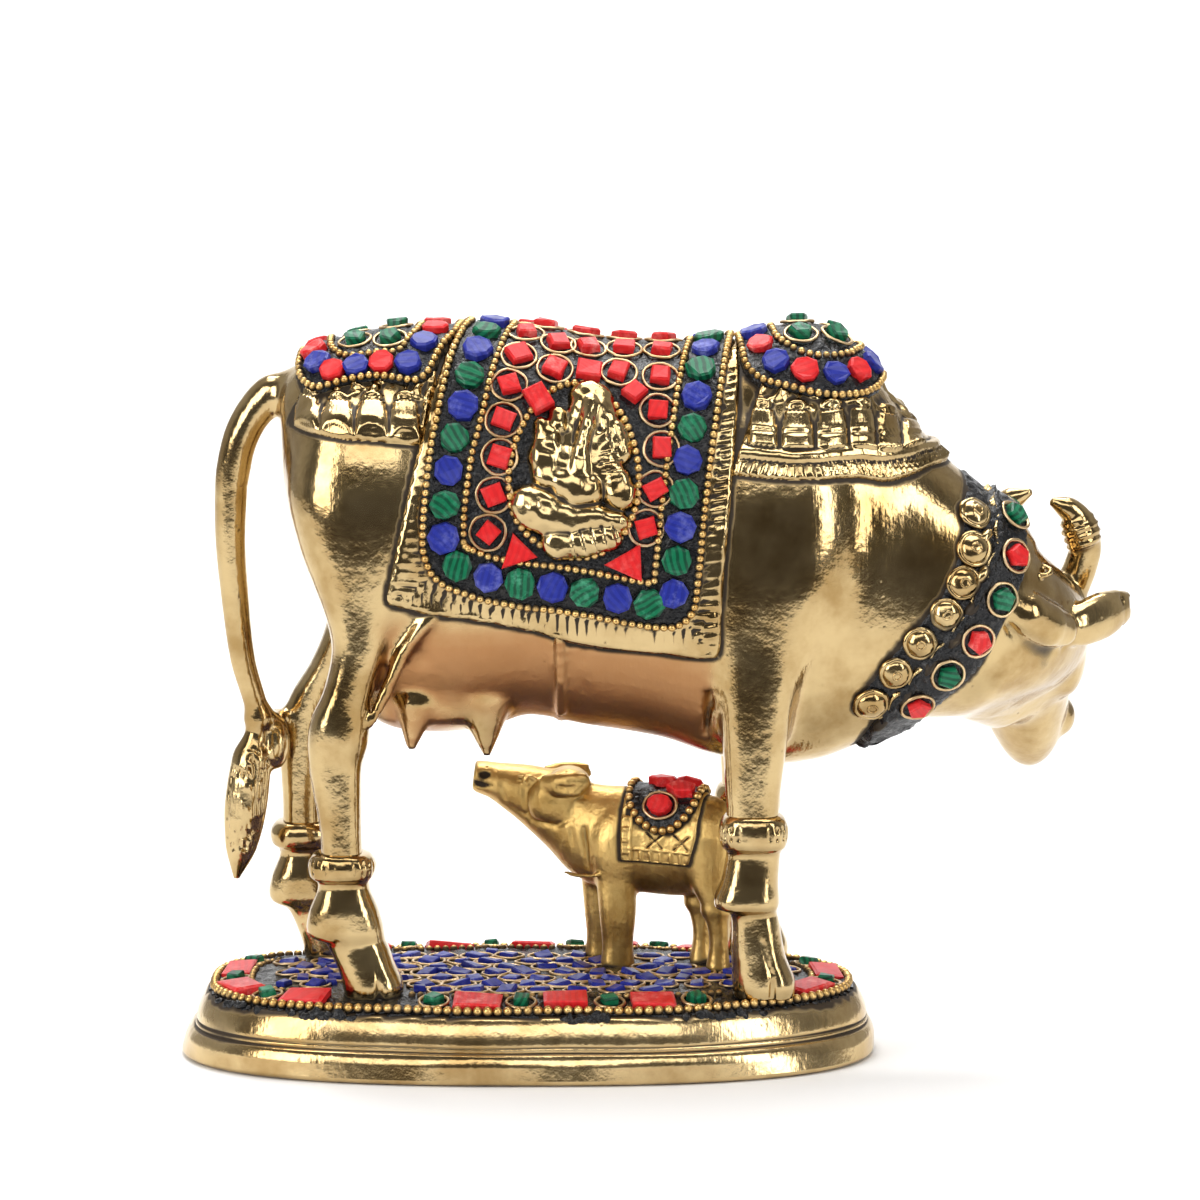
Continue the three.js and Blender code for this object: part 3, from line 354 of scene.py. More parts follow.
class Sculpt:
    """Signed distances on a regular grid, joined and cut with soft fillets."""

    def __init__(self, low: Sequence[float], high: Sequence[float], voxel: float) -> None:
        """Starts with empty space between two corners.

        Args:
            low: smallest corner.
            high: largest corner.
            voxel: size of a cell.
        """
        self.voxel = voxel
        self.origin = np.floor(np.array(low) / voxel).astype(int)
        self.shape = np.ceil(np.array(high) / voxel).astype(int) - self.origin
        self.band = 8
        self.values = np.full(self.shape, self.band * voxel, np.float32)

    def block(self, low: Array, high: Array, room: float) -> tuple:
        """Slices and point coordinates of the cells round a box.

        Args:
            low: smallest corner.
            high: largest corner.
            room: room left around it.

        Returns:
            Slices of the cells, and the points at their middles.
        """
        first = np.clip(np.floor((np.array(low) - room) / self.voxel).astype(int) - self.origin, 0,
                        self.shape)
        last = np.clip(np.ceil((np.array(high) + room) / self.voxel).astype(int) - self.origin, 0, self.shape)
        cells = tuple(slice(a, b) for a, b in zip(first, last))
        axes = [(np.arange(a, b) + o) * self.voxel for a, b, o in zip(first, last, self.origin)]
        return cells, np.stack(np.meshgrid(*axes, indexing="ij"), axis=-1).astype(np.float32)

    def measured(self, shell: Shell) -> Array:
        """Distance from every cell to a shell.

        Args:
            shell: closed shape.

        Returns:
            The distance in each cell.
        """
        grid = vdb.FloatGrid.createLevelSetFromPolygons(
            shell.points.astype(np.float32),
            triangles=shell.triangles.astype(np.uint32),
            quads=shell.quads.astype(np.uint32),
            transform=vdb.createLinearTransform(voxelSize=self.voxel),
            halfWidth=float(self.band),
        )
        out = np.empty(self.shape, np.float32)
        grid.copyToArray(out, ijk=tuple(int(i) for i in self.origin))
        return out

    def join(self, cells: tuple, distance: Array, soft: float) -> None:
        """Adds a shape with a fillet of a size.

        Args:
            cells: block of the grid.
            distance: distance to the shape in its cells.
            soft: size of the fillet.
        """
        old = self.values[cells]
        if soft <= 0:
            self.values[cells] = np.minimum(old, distance)
            return
        h = np.clip(0.5 + 0.5 * (old - distance) / soft, 0, 1)
        self.values[cells] = old + (distance - old) * h - soft * h * (1 - h)

    def carve(self, cells: tuple, distance: Array, soft: float) -> None:
        """Takes a shape away with a rounded edge of a size.

        Args:
            cells: block of the grid.
            distance: distance to the shape in its cells.
            soft: size of the fillet.
        """
        old = self.values[cells]
        inside = -distance
        if soft <= 0:
            self.values[cells] = np.maximum(old, inside)
            return
        h = np.clip(0.5 - 0.5 * (old - inside) / soft, 0, 1)
        self.values[cells] = old + (inside - old) * h + soft * h * (1 - h)

    def add(self, shell: Shell, soft: float = 0) -> "Sculpt":
        """Joins a shell."""
        self.join((slice(None),) * 3, self.measured(shell), soft)
        return self

    def lump(self, at: Sequence, size: Sequence, soft: float = 2, axes: Optional[Array] = None,
             cut: bool = False) -> "Sculpt":
        """Joins or cuts an ellipsoid.

        Args:
            at: its centre.
            size: its three half sizes.
            soft: size of the fillet.
            axes: rows of its own directions.
            cut: whether it is taken away.

        Returns:
            The sculpt itself.
        """
        centre, size = np.array(at, float), np.array(size, float)
        reach = size.max()
        cells, points = self.block(centre - reach, centre + reach, soft + 3 * self.voxel)
        local = points - centre
        if axes is not None:
            local = local @ unit(np.array(axes, float)).T
        scaled = np.linalg.norm(local / size, axis=-1)
        steep = np.maximum(np.linalg.norm(local / size ** 2, axis=-1), 1e-6)
        distance = scaled * (scaled - 1) / steep
        (self.carve if cut else self.join)(cells, distance, soft)
        return self

    def tube(self, line: Sequence, radii: Sequence[float], soft: float = 1, cut: bool = False) -> "Sculpt":
        """Joins or cuts a round bar along a line.

        Args:
            line: its corners.
            radii: radius at each corner.
            soft: size of the fillet.
            cut: whether it is taken away.

        Returns:
            The sculpt itself.
        """
        line = np.array(line, float)
        reach = max(radii)
        cells, points = self.block(line.min(0) - reach, line.max(0) + reach, soft + 3 * self.voxel)
        distance = np.full(points.shape[:-1], 1e3, np.float32)
        for start, end, first, last in zip(line, line[1:], radii, radii[1:]):
            way = end - start
            t = np.clip((points - start) @ way / max(way @ way, 1e-9), 0, 1)
            apart = np.linalg.norm(points - start - t[..., None] * way, axis=-1)
            distance = np.minimum(distance, apart - (first + (last - first) * t))
        (self.carve if cut else self.join)(cells, distance, soft)
        return self

    def details(self, table: Sequence, place: Callable) -> None:
        """Adds a table of bars and grooves.

        Args:
            table: line, radii, fillet and whether cut of each.
            place: turns a point of the table into a place.
        """
        for line, radii, soft, cut in table:
            self.tube([place(*point) for point in line], radii, soft, cut)

    def behind(self, point: Sequence, normal: Sequence) -> "Sculpt":
        """Keeps what lies behind a plane.

        Args:
            point: a point of the plane.
            normal: direction out of the plane.

        Returns:
            The sculpt itself.
        """
        cells, points = self.block(self.origin * self.voxel, (self.origin + self.shape) * self.voxel, 0)
        cut = ((points - np.array(point, np.float32)) @ unit(np.array(normal, float))).astype(np.float32)
        self.values[cells] = np.maximum(self.values[cells], cut)
        return self

    def sampled(self, values: Array, points: Array) -> Array:
        """Values between the cells at points.

        Args:
            values: value of each point or cell.
            points: the points.

        Returns:
            The value at each point.
        """
        place = np.clip(points / self.voxel - self.origin, 0, np.array(self.shape) - 1.001)
        base = place.astype(int)
        part = place - base
        total = np.zeros(len(points))
        for corner in np.ndindex(2, 2, 2):
            weight = np.prod(np.where(corner, part, 1 - part), axis=1)
            total += weight * values[tuple((base + corner).T)]
        return total

    def shell(self) -> Shell:
        """The surface as a closed shell.

        Returns:
            The outer skin as a closed shape.
        """
        grid = vdb.FloatGrid(self.band * self.voxel)
        grid.transform = vdb.createLinearTransform(voxelSize=self.voxel)
        grid.copyFromArray(self.values, ijk=tuple(int(i) for i in self.origin), tolerance=0.0)
        points, triangles, quads = grid.convertToPolygons(isovalue=0.0, adaptivity=0.0)
        return Shell(points.astype(float), quads.astype(int), triangles.astype(int))

    def hollows(self, points: Array, reach: float) -> Array:
        """How sunken each point is within a reach: 0 on flat, towards 1 in a crease, below 0 on an edge.

        Args:
            points: the points.
            reach: how far hollows are felt.

        Returns:
            How deep each point lies in a hollow.
        """
        blurred = self.values.copy()
        for _ in range(max(1, round((reach / self.voxel) ** 2))):
            for axis in range(3):
                blurred = (np.roll(blurred, 1, axis) + 2 * blurred + np.roll(blurred, -1, axis)) / 4
        return -self.sampled(blurred, points) / reach

    def object(self, name: str, reach: float = 1.6) -> bpy.types.Object:
        """Adds the surface to the scene with its hollows as an attribute.

        Args:
            name: name of the new piece.
            reach: how far hollows are felt.

        Returns:
            The new object.
        """
        shell = self.shell()
        made = shell.object(name)
        mark(made, "hollow", self.hollows(shell.points, reach))
        return made


def read(items: Sequence, name: str, width: int) -> Array:
    """One row of numbers per item of a mesh.

    Args:
        items: collection of vertices or of attribute values.
        name: name of the value that is read.
        width: numbers to an item.

    Returns:
        A row for each item.
    """
    values = np.empty(len(items) * width, np.float32)
    items.foreach_get(name, values)
    return values.reshape(-1, width)


def mark(piece: bpy.types.Object, name: str, values: Array) -> None:
    """Writes one number per point of a piece as an attribute.

    Args:
        piece: piece that gets the attribute.
        name: name of the attribute.
        values: value of each point or cell.
    """
    known = piece.data.attributes
    layer = known[name] if name in known else known.new(name, "FLOAT", "POINT")
    layer.data.foreach_set("value", values.astype(np.float32))


def copper_and_shade_belly(piece: bpy.types.Object) -> None:
    """Marks the downward-facing belly between the legs as an attribute that paints it darker and coppery:
    painted shade together with the coppery tarnish of the unpolished underside.

    Args:
        piece: piece that gets it.
    """
    x, _, z = read(piece.data.vertices, "co", 3).T / MM
    down = -read(piece.data.vertex_normals, "vector", 3)[:, 2]
    # Painted shade: the more a point faces down, the darker and more coppery it is painted
    share = smoothstep(0.02, 0.4, down) * smoothstep(106, 98, z) * smoothstep(68, 76, z)
    share *= smoothstep(-37, -30, x) * smoothstep(44, 40, x)
    teat = np.exp(-((x + 11.5) ** 2 + (z - 76) ** 2) / 50)
    mark(piece, "copper", share * (1 - teat))


def darken_near_contacts(pieces: Iterable[bpy.types.Object], covers: Iterable[bpy.types.Object], reach: float = 2.2,
         amount: float = 0.8) -> None:
    # Paints shade in a darker coppery colour on the downward-facing belly
    """Darkens pieces where others lie on them, by adding to their hollow value near the contact.

    Args:
        pieces: the pieces that are darkened.
        covers: the pieces that lie on them or beside them.
        reach: distance at which the darkening ends, in millimetres.
        amount: how much darkening at the contact.
    """
    trees = [
        BVHTree.FromPolygons(read(cover.data.vertices, "co", 3).tolist(),
                             [tuple(p.vertices) for p in cover.data.polygons])
        for cover in covers]
    for piece in pieces:
        if "hollow" not in piece.data.attributes:
            mark(piece, "hollow", np.zeros(len(piece.data.vertices)))
        values = read(piece.data.attributes["hollow"].data, "value", 1)[:, 0]
        # Darker the nearer each point lies to a piece that touches it
        apart = np.full(len(values), reach)
        for i, vertex in enumerate(piece.data.vertices):
            for tree in trees:
                distance = tree.find_nearest(vertex.co, apart[i] * MM)[3]
                if distance is not None:
                    apart[i] = min(apart[i], distance / MM)
        mark(piece, "hollow", values + amount * (1 - apart / reach).astype(np.float32) ** 1.5)


def clean(shapes: Iterable[bpy.types.Object], node: str, material: bpy.types.Material) -> None:
    """Gives pieces a material and the root body, and hides the solid that they stand for.

    Args:
        shapes: pieces that are cleaned.
        node: node of the solids that they replace.
        material: material of the piece.
    """
    for shape in shapes:
        shape.data.materials.clear()
        shape.data.materials.append(material)
        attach(shape, "root")
        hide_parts(node)
        faces = sum(len(p.vertices) - 2 for p in shape.data.polygons)
        log.info("%s: %d triangles, %d points", shape.name, faces, len(shape.data.vertices))


# Folds of a flank on the near side, from the stifle to the elbow: line, radii, fillet and whether cut
FLANK = (
    (((-20, -27.6, 104), (-22.8, -27, 101.5), (-27.6, -25.4, 94.5), (-31.4, -24.6, 86), (-34.6, -25, 79)),
     (0.5, 1.2, 1.5, 1.5, 0.8), 2, False),
    (((7.7, -27, 99), (7.8, -22.3, 88.5), (7.8, -15, 80.6), (7.8, 0, 77.4)), (1.2,) * 4, 1, False),
    (((5.7, -23.2, 90.5), (5.7, -20.4, 86), (5.7, -14.6, 80.9)), (0.7, 0.9, 0.6), 0.8, True),
    (((13, -26.3, 97), (13, -23.8, 90), (13, -19.4, 84.2), (13, -15, 80.2)), (0.8, 0.9, 0.8, 0.5), 0.8, True),
    (((43.4, -24.6, 96), (42.6, -23.4, 91), (41.6, -21, 84), (40.6, -15, 76)), (0.2, 0.9, 0.9, 0.5), 1.8,
     True),
)
# Bar between the far hind leg and the tuft of the tail
TAIL_BRIDGE = (((-62, 10, 75), (-58, 17, 74.5), (-55, 22, 74)), (2.2, 2.0, 2.2), 1.5)


@dataclass
class Statue:
    """The cow's cast body: trunk, legs, tail and udder as one casting, with a finer head and finer feet."""

    voxel: float = 1.05
    fine: float = 0.6

    def trunk(self) -> Sculpt:
        """Body down to the anklets, neck included.

        Returns:
            The sculpt.
        """
        s = Sculpt((-76, -33, 43), (121, 33, 172), self.voxel)
        s.add(profiled(TRUNK, SQUARENESS)).add(limb(NECK, NECK_UP), 5)
        s.add(leg(HIND_LEG, NEAR), 5).add(leg(HIND_LEG, FAR, far_hind), 5)
        s.add(leg(FORE_LEG, NEAR), 5).add(leg(FORE_LEG, FAR), 5)
        s.add(limb(TAIL[:5], (1, 0, 0)), 2.5)
        for side in (NEAR, FAR):
            s.lump((-35, side * 21, 128), (13, 9, 19), 8)
            s.lump((58, side * 19, 120), (13, 9, 24), 8)
            s.lump((-41.5, side * 21.6, 76), (5.6, 5.6, 6), 4)
        s.lump((-21, 0, 80), (16, 17, 5), 6)
        for x, y, tip_x, tip_z, size in ((-9.5, -12, -9, 69.8, 5.4), (-25, -15, -26, 71.6, 3.8)):
            for side in (-1, 1):
                s.tube(((x, side * y, 82), (tip_x, side * y * 1.1, tip_z + 1.2)), (size + 1.2, 1.2), 1.6)
        s.tube(*TAIL_BRIDGE)
        for side in (NEAR, FAR):
            s.details(FLANK, lambda x, y, z, side=side: (x, -side * y, z))
            s.lump((-23.6, side * 25.6, 92), (2.6, 2.4, 3.4), 1.5, cut=True)
        return s

    def tail(self) -> Sculpt:
        """Tail with its combed tuft.

        Returns:
            The sculpt.
        """
        s = Sculpt((-77, -6, 34), (-46, 24, 160), self.fine)
        s.add(limb(TAIL, (1, 0, 0)))
        s.lump((-58.6, 12.4, 69.4), (3.3, 4.2, 6.4), 2)
        s.tube(*TAIL_BRIDGE)
        for side in (NEAR, FAR):
            for i, off in enumerate((-3.8, -2.5, -1.2, 0.2, 1.5, 2.9, 4)):
                line = []
                for z, wide, middle in ((69 - i % 3, 0.6, -63.4), (60, 1, -65), (52, 1, -65.9),
                                        (43 + 2 * (i % 2), 0.55, -67)):
                    across = off * wide
                    line.append((middle + across,
                                 10 + side * 4.9 * wide ** 0.7 * math.sqrt(1 - (off / 5) ** 2), z))
                s.tube(line, (0.25, 0.55, 0.6, 0.3), 0.3, cut=True)
            for x in (-60.4, -58.6, -56.8):
                s.tube(((x, 12.4 + side * 3.9, 72.5), (x, 12.4 + side * 4.3, 65)), (0.35, 0.4), 0.3, cut=True)
        return s

    def head(self) -> Sculpt:
        """Neck ahead of the collar's middle, head, horns and ears.

        Returns:
            The sculpt.
        """
        s = Sculpt((86, -23, 55), (142, 57, 129), self.fine)
        s.add(profiled(TRUNK[14:], SQUARENESS)).add(limb(NECK, NECK_UP), 5).add(limb(HEAD, HEAD_UP), 4)
        for side in (-1, 1):
            x = lambda off: HEAD_X + side * off
            s.lump((x(7), 23, 87), (4, 7, 8), 4, ((1, 0, 0), (0, 0.72, -0.69), (0, 0.69, 0.72)))
            s.lump((x(8.4 if side > 0 else 5.6), 43.6, 71), (3.2, 5, 4.4), 2)
            s.add(limb(mirrored(EAR, side, HEAD_X)), 1.2)
            s.lump((x(21.6), 11, 101.6), (1.9, 2.2, 2.4), 0.5, cut=True)
            s.tube([(x(18.4), 9.6 + 3.1 * math.cos(a), 101.2 + 4.5 * math.sin(a))
                    for a in np.linspace(0, 6.28, 12)], (0.4,) * 12, 0.4, cut=True)
            s.tube(((x(4.6), -4, 103.6), (x(4.8), -4.6, 99), (x(4.4), -3.6, 93.6)), (0.8, 1, 1.1), 0.9,
                   cut=True)
            horn = [((x(off), y, z + (2.4 if side < 0 and z > 104 else 0)), *size) for (off, y, z),
                    *size in HORN]
            s.add(limb(horn, (0, 1, 0)), 1.2)
            tilt = np.array(((0.94, 0, side * 0.34), (0, 1, 0), (-side * 0.34, 0, 0.94)))
            for off, z, size in ((10.2, 115.8, 4.3), (9.8, 117.5, 4.6), (9.2, 119.2, 4.6), (8.5, 120.9, 4.2)):
                s.lump((x(off), 14.6, z + (2.4 if side < 0 else 0)), (size, size, 1.5), 0.35, tilt)
            s.lump((x(10.2), 30.5, 88.5), (1.8, 2.6, 2.4), 0.6)
            s.lump((x(4.6), 51, 66.2), (2, 1.6, 1.8), 0.8, cut=True)
        s.tube(((109, -12, 104.6), (113, -11.4, 102.2), (117.6, -8, 99.4), (121, -4.8, 98)),
               (4.9, 5.7, 5.5, 4.6), 0.9)
        s.tube(((108.8, -15.6, 100), (112, -15, 95.6), (116.5, -11.4, 93), (121, -6.6, 92.4),
                (124.4, -4, 95)),
               (0.6, 1.2, 1.5, 1.3, 0.6), 1.4, cut=True)
        s.tube([(116.9 + 2.3 * math.cos(a), -7.2 + 1.5 * math.sin(a), 111.6 + 0.9 * math.sin(a))
                for a in np.linspace(0, 6.28, 14)], (0.65,) * 14, 0.3)
        s.tube(((97, 3, 87), (104, 12, 83.6), (109.5, 22, 80)), (7.6, 8, 7.6), 8)
        return s

    def foot(self, stations: Sequence, side: int, shift: float) -> Sculpt:
        """Anklet, pastern and cloven hoof of one leg.

        Args:
            stations: centre and sizes along the limb.
            side: near or far side.
            shift: way that the limb is moved, from its height.

        Returns:
            The sculpt.
        """
        shell = leg(stations, side, lambda z: np.full_like(z, shift))
        low, high = shell.points.min(0), shell.points.max(0)
        s = Sculpt(low - 3, high + 3, self.fine)
        s.add(shell)
        height, back, front, off, half = stations[2]
        middle, wide = (back + front) / 2 + shift, (front - back) / 2
        for turn in np.radians(np.arange(-78, 79, 13)):
            if abs(turn) > 0.15:
                x, y = middle + (wide + 0.1) * math.sin(turn), side * (off + (half + 0.1) * math.cos(turn))
                s.tube(((x, y, height - 1.2), (x, y, height + 1.2)), (0.38, 0.38), 0.4, cut=True)
        last, sole = stations[-2], stations[-1]
        for share in (0.1, 0.62):
            x = lambda row, room=0: row[1] + (row[2] - row[1]) * share + shift + room
            y = lambda row: side * (row[3] + row[4] * 0.96)
            s.tube(((x(last, -2.4), y(last) - side * 0.6, 30), (x(last), y(last), 22),
                    (x(sole), y(sole), 16)), (0.3, 0.6, 0.7), 0.8, cut=True)
        return s


def spread(table: Array, first: Array, second: Array) -> Array:
    """Smooth values between the cells of a table of points.

    Args:
        table: values of shape (rows, columns, 3).
        first: fractional row of each wanted place.
        second: fractional column of each.

    Returns:
        One row of three values per place.
    """
    def weights(place: Array, count: int) -> tuple:
        """First of four neighbours and their shares.

        Args:
            place: place in cells.
            count: number of cells.

        Returns:
            The first cell and the weight of each of its neighbours.
        """
        place = np.clip(place, 1, count - 3.001)
        base = place.astype(int)
        t = place - base
        shares = ((1 - t) ** 3, 3 * t ** 3 - 6 * t ** 2 + 4, -3 * t ** 3 + 3 * t ** 2 + 3 * t + 1, t ** 3)
        return base - 1, [share / 6 for share in shares]

    row, row_shares = weights(first, table.shape[0])
    column, column_shares = weights(second, table.shape[1])
    total = np.zeros((*np.shape(first), table.shape[2]))
    for i, a in enumerate(row_shares):
        for j, b in enumerate(column_shares):
            total += (a * b)[..., None] * table[row + i, column + j]
    return total


def softened(table: Array, rounds: int) -> Array:
    """A table of points with small bumps smoothed out.

    Args:
        table: values on a grid.
        rounds: how often it is done.

    Returns:
        The softened values.
    """
    for _ in range(rounds):
        for axis in (0, 1):
            padded = np.pad(table, [(1, 1) if a == axis else (0, 0) for a in range(3)], mode="reflect",
                            reflect_type="odd")
            n = table.shape[axis]
            take = lambda i: np.take(padded, range(i, i + n), axis)
            table = (take(0) + 2 * take(1) + take(2)) / 4
    return table


@dataclass
class Places:
    """Where ornaments sit: point, outward direction, direction of the row, and size."""

    at: Array
    out: Array
    along: Array
    size: Array

    def picked(self, which: Array) -> "Places":
        """Some of the places."""
        return Places(self.at[which], self.out[which], self.along[which], self.size[which])

    def raised(self, height: float) -> "Places":
        """The same places further out."""
        return Places(self.at + self.out * height, self.out, self.along, self.size)


class Surface:
    """Smooth skin round an axis, addressed by distance along it and by girth from its top line."""

    def __init__(self, tree: BVHTree, start: Sequence, along: Sequence, up: Sequence, low: float, high: float,
                 sweep: float = 150, step: float = 1.5, rounds: int = 3) -> None:
        """Feels the shape with rays towards the axis.

        Args:
            tree: faces to feel.
            start: a point of the axis, in millimetres.
            along: direction of the axis.
            up: direction of girth zero.
            low: first distance along the axis.
            high: last distance along the axis.
            sweep: degrees felt to each side of the top line.
            step: spacing of the rows.
            rounds: rounds of smoothing.
        """
        start, along, up = (np.array(v, float) for v in (start, unit(np.array(along, float)),
                                                         unit(np.array(up, float))))
        side = np.cross(up, along)
        lengths = np.arange(low - 3 * step, high + 4 * step, step)
        angles = np.radians(np.linspace(-sweep, sweep, 2 * int(sweep / 3) + 1))
        table = np.zeros((len(lengths), len(angles), 3))
        for i, length in enumerate(lengths):
            centre = start + along * length
            radius = 10.0
            for j, angle in enumerate(angles):
                way = up * math.cos(angle) + side * math.sin(angle)
                hit = tree.ray_cast(Vector(centre + way * 90), Vector(-way), 90)[0]
                radius = (np.array(hit) - centre) @ way if hit else radius
                table[i, j] = centre + way * radius
        table = softened(table, rounds)
        girth = np.concatenate([np.zeros((len(lengths), 1)), np.cumsum(
            np.linalg.norm(np.diff(table, axis=1), axis=2), axis=1)], axis=1)
        girth -= girth[:, len(angles) // 2][:, None]
        self.most = float(np.percentile(np.minimum(girth[:, -1], -girth[:, 0]), 80))
        self.low, self.step = lengths[0], step
        self.girths = np.arange(-math.floor(self.most), math.floor(self.most) + 1.0)
        self.table = np.stack([
            np.stack([np.interp(self.girths, row_girth, row[:, k]) for k in range(3)], axis=-1)
            for row_girth, row in zip(girth, table)
        ])
        self.table = softened(self.table, 1)

    def at(self, along: Array, girth: Array) -> Array:
        """Points of the skin."""
        return spread(self.table, (np.asarray(along, float) - self.low) / self.step,
                      np.asarray(girth, float) - self.girths[0])

    def out(self, along: Array, girth: Array) -> Array:
        """Directions out of the skin.

        Args:
            along: way along the surface.
            girth: way around the surface.

        Returns:
            Direction out of the surface.
        """
        along, girth = np.asarray(along, float), np.asarray(girth, float)
        first = self.at(along + 0.6, girth) - self.at(along - 0.6, girth)
        second = self.at(along, girth + 0.6) - self.at(along, girth - 0.6)
        return unit(np.cross(first, second))

    def places(self, spots: Array, height: float = 0, size: float = 1,
               turns: Optional[Array] = None) -> Places:
        """Places on the skin.

        Args:
            spots: rows of along and girth.
            height: distance above the skin.
            size: size of each ornament.
            turns: direction of each row in along and girth.

        Returns:
            The places.
        """
        spots = np.asarray(spots, float).reshape(-1, 2)
        turns = np.tile([1.0, 0.0], (len(spots), 1)) if turns is None else unit(np.asarray(turns, float))
        out = self.out(spots[:, 0], spots[:, 1])
        at = self.at(spots[:, 0], spots[:, 1])
        ahead = self.at(spots[:, 0] + turns[:, 0] * 0.5, spots[:, 1] + turns[:, 1] * 0.5) - at
        return Places(at + out * height, out, unit(ahead), np.full(len(spots), float(size)))


@dataclass
class Loop:
    """Outline in distance along and girth."""

    points: Array
    closed: bool = True

    @staticmethod
    def through(corners: Sequence, rounds: int = 3) -> "Loop":
        """Outline through corners, with the corners cut round.

        Args:
            corners: corners of the outline.
            rounds: how often it is done.

        Returns:
            The new outline.
        """
        points = np.array(corners, float)
        for _ in range(rounds):
            after = np.roll(points, -1, axis=0)
            points = np.stack([0.75 * points + 0.25 * after, 0.25 * points + 0.75 * after],
                              axis=1).reshape(-1, 2)
        return Loop(points)

    def measured(self, spots: Array) -> tuple:
        """Distance to the outline, below 0 inside or right of an open one, and the way along it.

        Args:
            spots: places as ways along and across.

        Returns:
            The distances, and the way along the outline where each is measured.
        """
        best = np.full(spots.shape[:-1], 1e9)
        around = np.zeros_like(best)
        inside = np.zeros_like(best, bool)
        travelled = 0.0
        ends = np.roll(self.points, -1, axis=0) if self.closed else self.points[1:]
        for start, end in zip(self.points, ends):
            way = end - start
            length = math.hypot(*way)
            t = np.clip(((spots - start) @ way) / max(length ** 2, 1e-9), 0, 1)
            apart = np.hypot(*np.moveaxis(spots - start - t[..., None] * way, -1, 0))
            nearer = apart < best
            best = np.where(nearer, apart, best)
            around = np.where(nearer, travelled + t * length, around)
            travelled += length
            y = spots[..., 1]
            if not self.closed:
                right = way[0] * (y - start[1]) < way[1] * (spots[..., 0] - start[0])
                inside = np.where(nearer, right, inside)
            elif way[1]:
                crosses = (start[1] > y) != (end[1] > y)
                inside ^= crosses & (spots[..., 0] < start[0] + way[0] * (y - start[1]) / way[1])
        return np.where(inside, -best, best), around

    def even(self, pitch: float, shift: float = 0) -> tuple:
        """Points round the outline at an even pitch that closes, and the direction at each.

        Args:
            pitch: distance between neighbours.
            shift: way of the first place from the start.

        Returns:
            The places and the directions there.
        """
        closed = np.vstack([self.points, self.points[:1]])
        reached = np.concatenate([[0], np.cumsum(np.linalg.norm(np.diff(closed, axis=0), axis=1))])
        count = max(3, round(reached[-1] / pitch))
        wanted = (np.arange(count) / count * reached[-1] + shift) % reached[-1]
        spots = np.stack([np.interp(wanted, reached, closed[:, k]) for k in (0, 1)], axis=-1)
        ahead = np.stack([np.interp((wanted + 0.4) % reached[-1], reached, closed[:, k]) for k in (0, 1)],
                         axis=-1)
        return spots, unit(ahead - spots)

    def inset(self, room: float) -> "Loop":
        """Outline further in by a distance.

        Args:
            room: distance inwards.

        Returns:
            The smaller outline.
        """
        dense, _ = Loop(self.points).even(0.5)
        after, before = np.roll(dense, -1, axis=0), np.roll(dense, 1, axis=0)
        way = unit(after - before)
        area = np.sum(dense[:, 0] * after[:, 1] - after[:, 0] * dense[:, 1])
        inward = np.stack([-way[:, 1], way[:, 0]], axis=-1) * np.sign(area)
        moved = dense + inward * room
        distance, _ = self.measured(moved)
        return Loop(moved[distance < -abs(room) + 0.12] if room > 0 else moved)


# Height of the part of a sheet that stays sunk in the casting
SUNK = -1.1


def sheet(surface: Surface, low: Sequence, high: Sequence, step: float, height: Callable,
          floor: float = SUNK) -> tuple:
    """Solid layer on a surface whose top follows a height.

    Args:
        surface: the skin below.
        low: first distance along and girth.
        high: last distance along and girth.
        step: spacing of the points.
        height: gives the height above the skin at rows of along and girth.
        floor: height of its underside; cells that sink near it are left out.

    Returns:
        The shell and how sunken each point is.
    """
    first, second = (np.arange(a, b + step, step) for a, b in zip(low, high))
    spots = np.stack(np.meshgrid(first, second, indexing="ij"), axis=-1)
    heights = height(spots)
    blurred = heights.copy()
    for _ in range(8):
        for axis in (0, 1):
            blurred = (np.roll(blurred, 1, axis) + 2 * blurred + np.roll(blurred, -1, axis)) / 4
    base, out = surface.at(spots[..., 0], spots[..., 1]), surface.out(spots[..., 0], spots[..., 1])
    tall = heights > floor + 0.4
    kept = tall[:-1, :-1] | tall[1:, :-1] | tall[:-1, 1:] | tall[1:, 1:]
    rows, columns = heights.shape
    index = np.arange(rows * columns).reshape(rows, columns)
    a, b, c, d = index[:-1, :-1], index[1:, :-1], index[1:, 1:], index[:-1, 1:]
    lower = lambda corner: corner + rows * columns
    faces = [np.stack([a, b, c, d], -1)[kept], np.stack([lower(d), lower(c), lower(b), lower(a)], -1)[kept]]
    wide = np.pad(kept, 1)
    for empty, p, q in (
        (wide[1:-1, :-2], a, b), (wide[1:-1, 2:], c, d), (wide[:-2, 1:-1], d, a), (wide[2:, 1:-1], b, c),
    ):
        edge = kept & ~empty
        faces.append(np.stack([q, p, lower(p), lower(q)], -1)[edge])
    quads = np.concatenate(faces)
    points = np.concatenate([base + out * heights[..., None], base + out * floor]).reshape(-1, 3)
    sunken = np.concatenate([(blurred - heights).ravel(), np.full(rows * columns, 0.5)])
    used, quads = np.unique(quads, return_inverse=True)
    return Shell(points[used], quads.reshape(-1, 4)), sunken[used]


def sheet_object(name: str, made: tuple) -> bpy.types.Object:
    """Adds a sheet to the scene with its hollows.

    Args:
        name: name of the new piece.
        made: points, faces and values of the sheet.

    Returns:
        The new object.
    """
    shell, sunken = made
    piece = shell.object(name)
    mark(piece, "hollow", sunken * 1.6)
    return piece


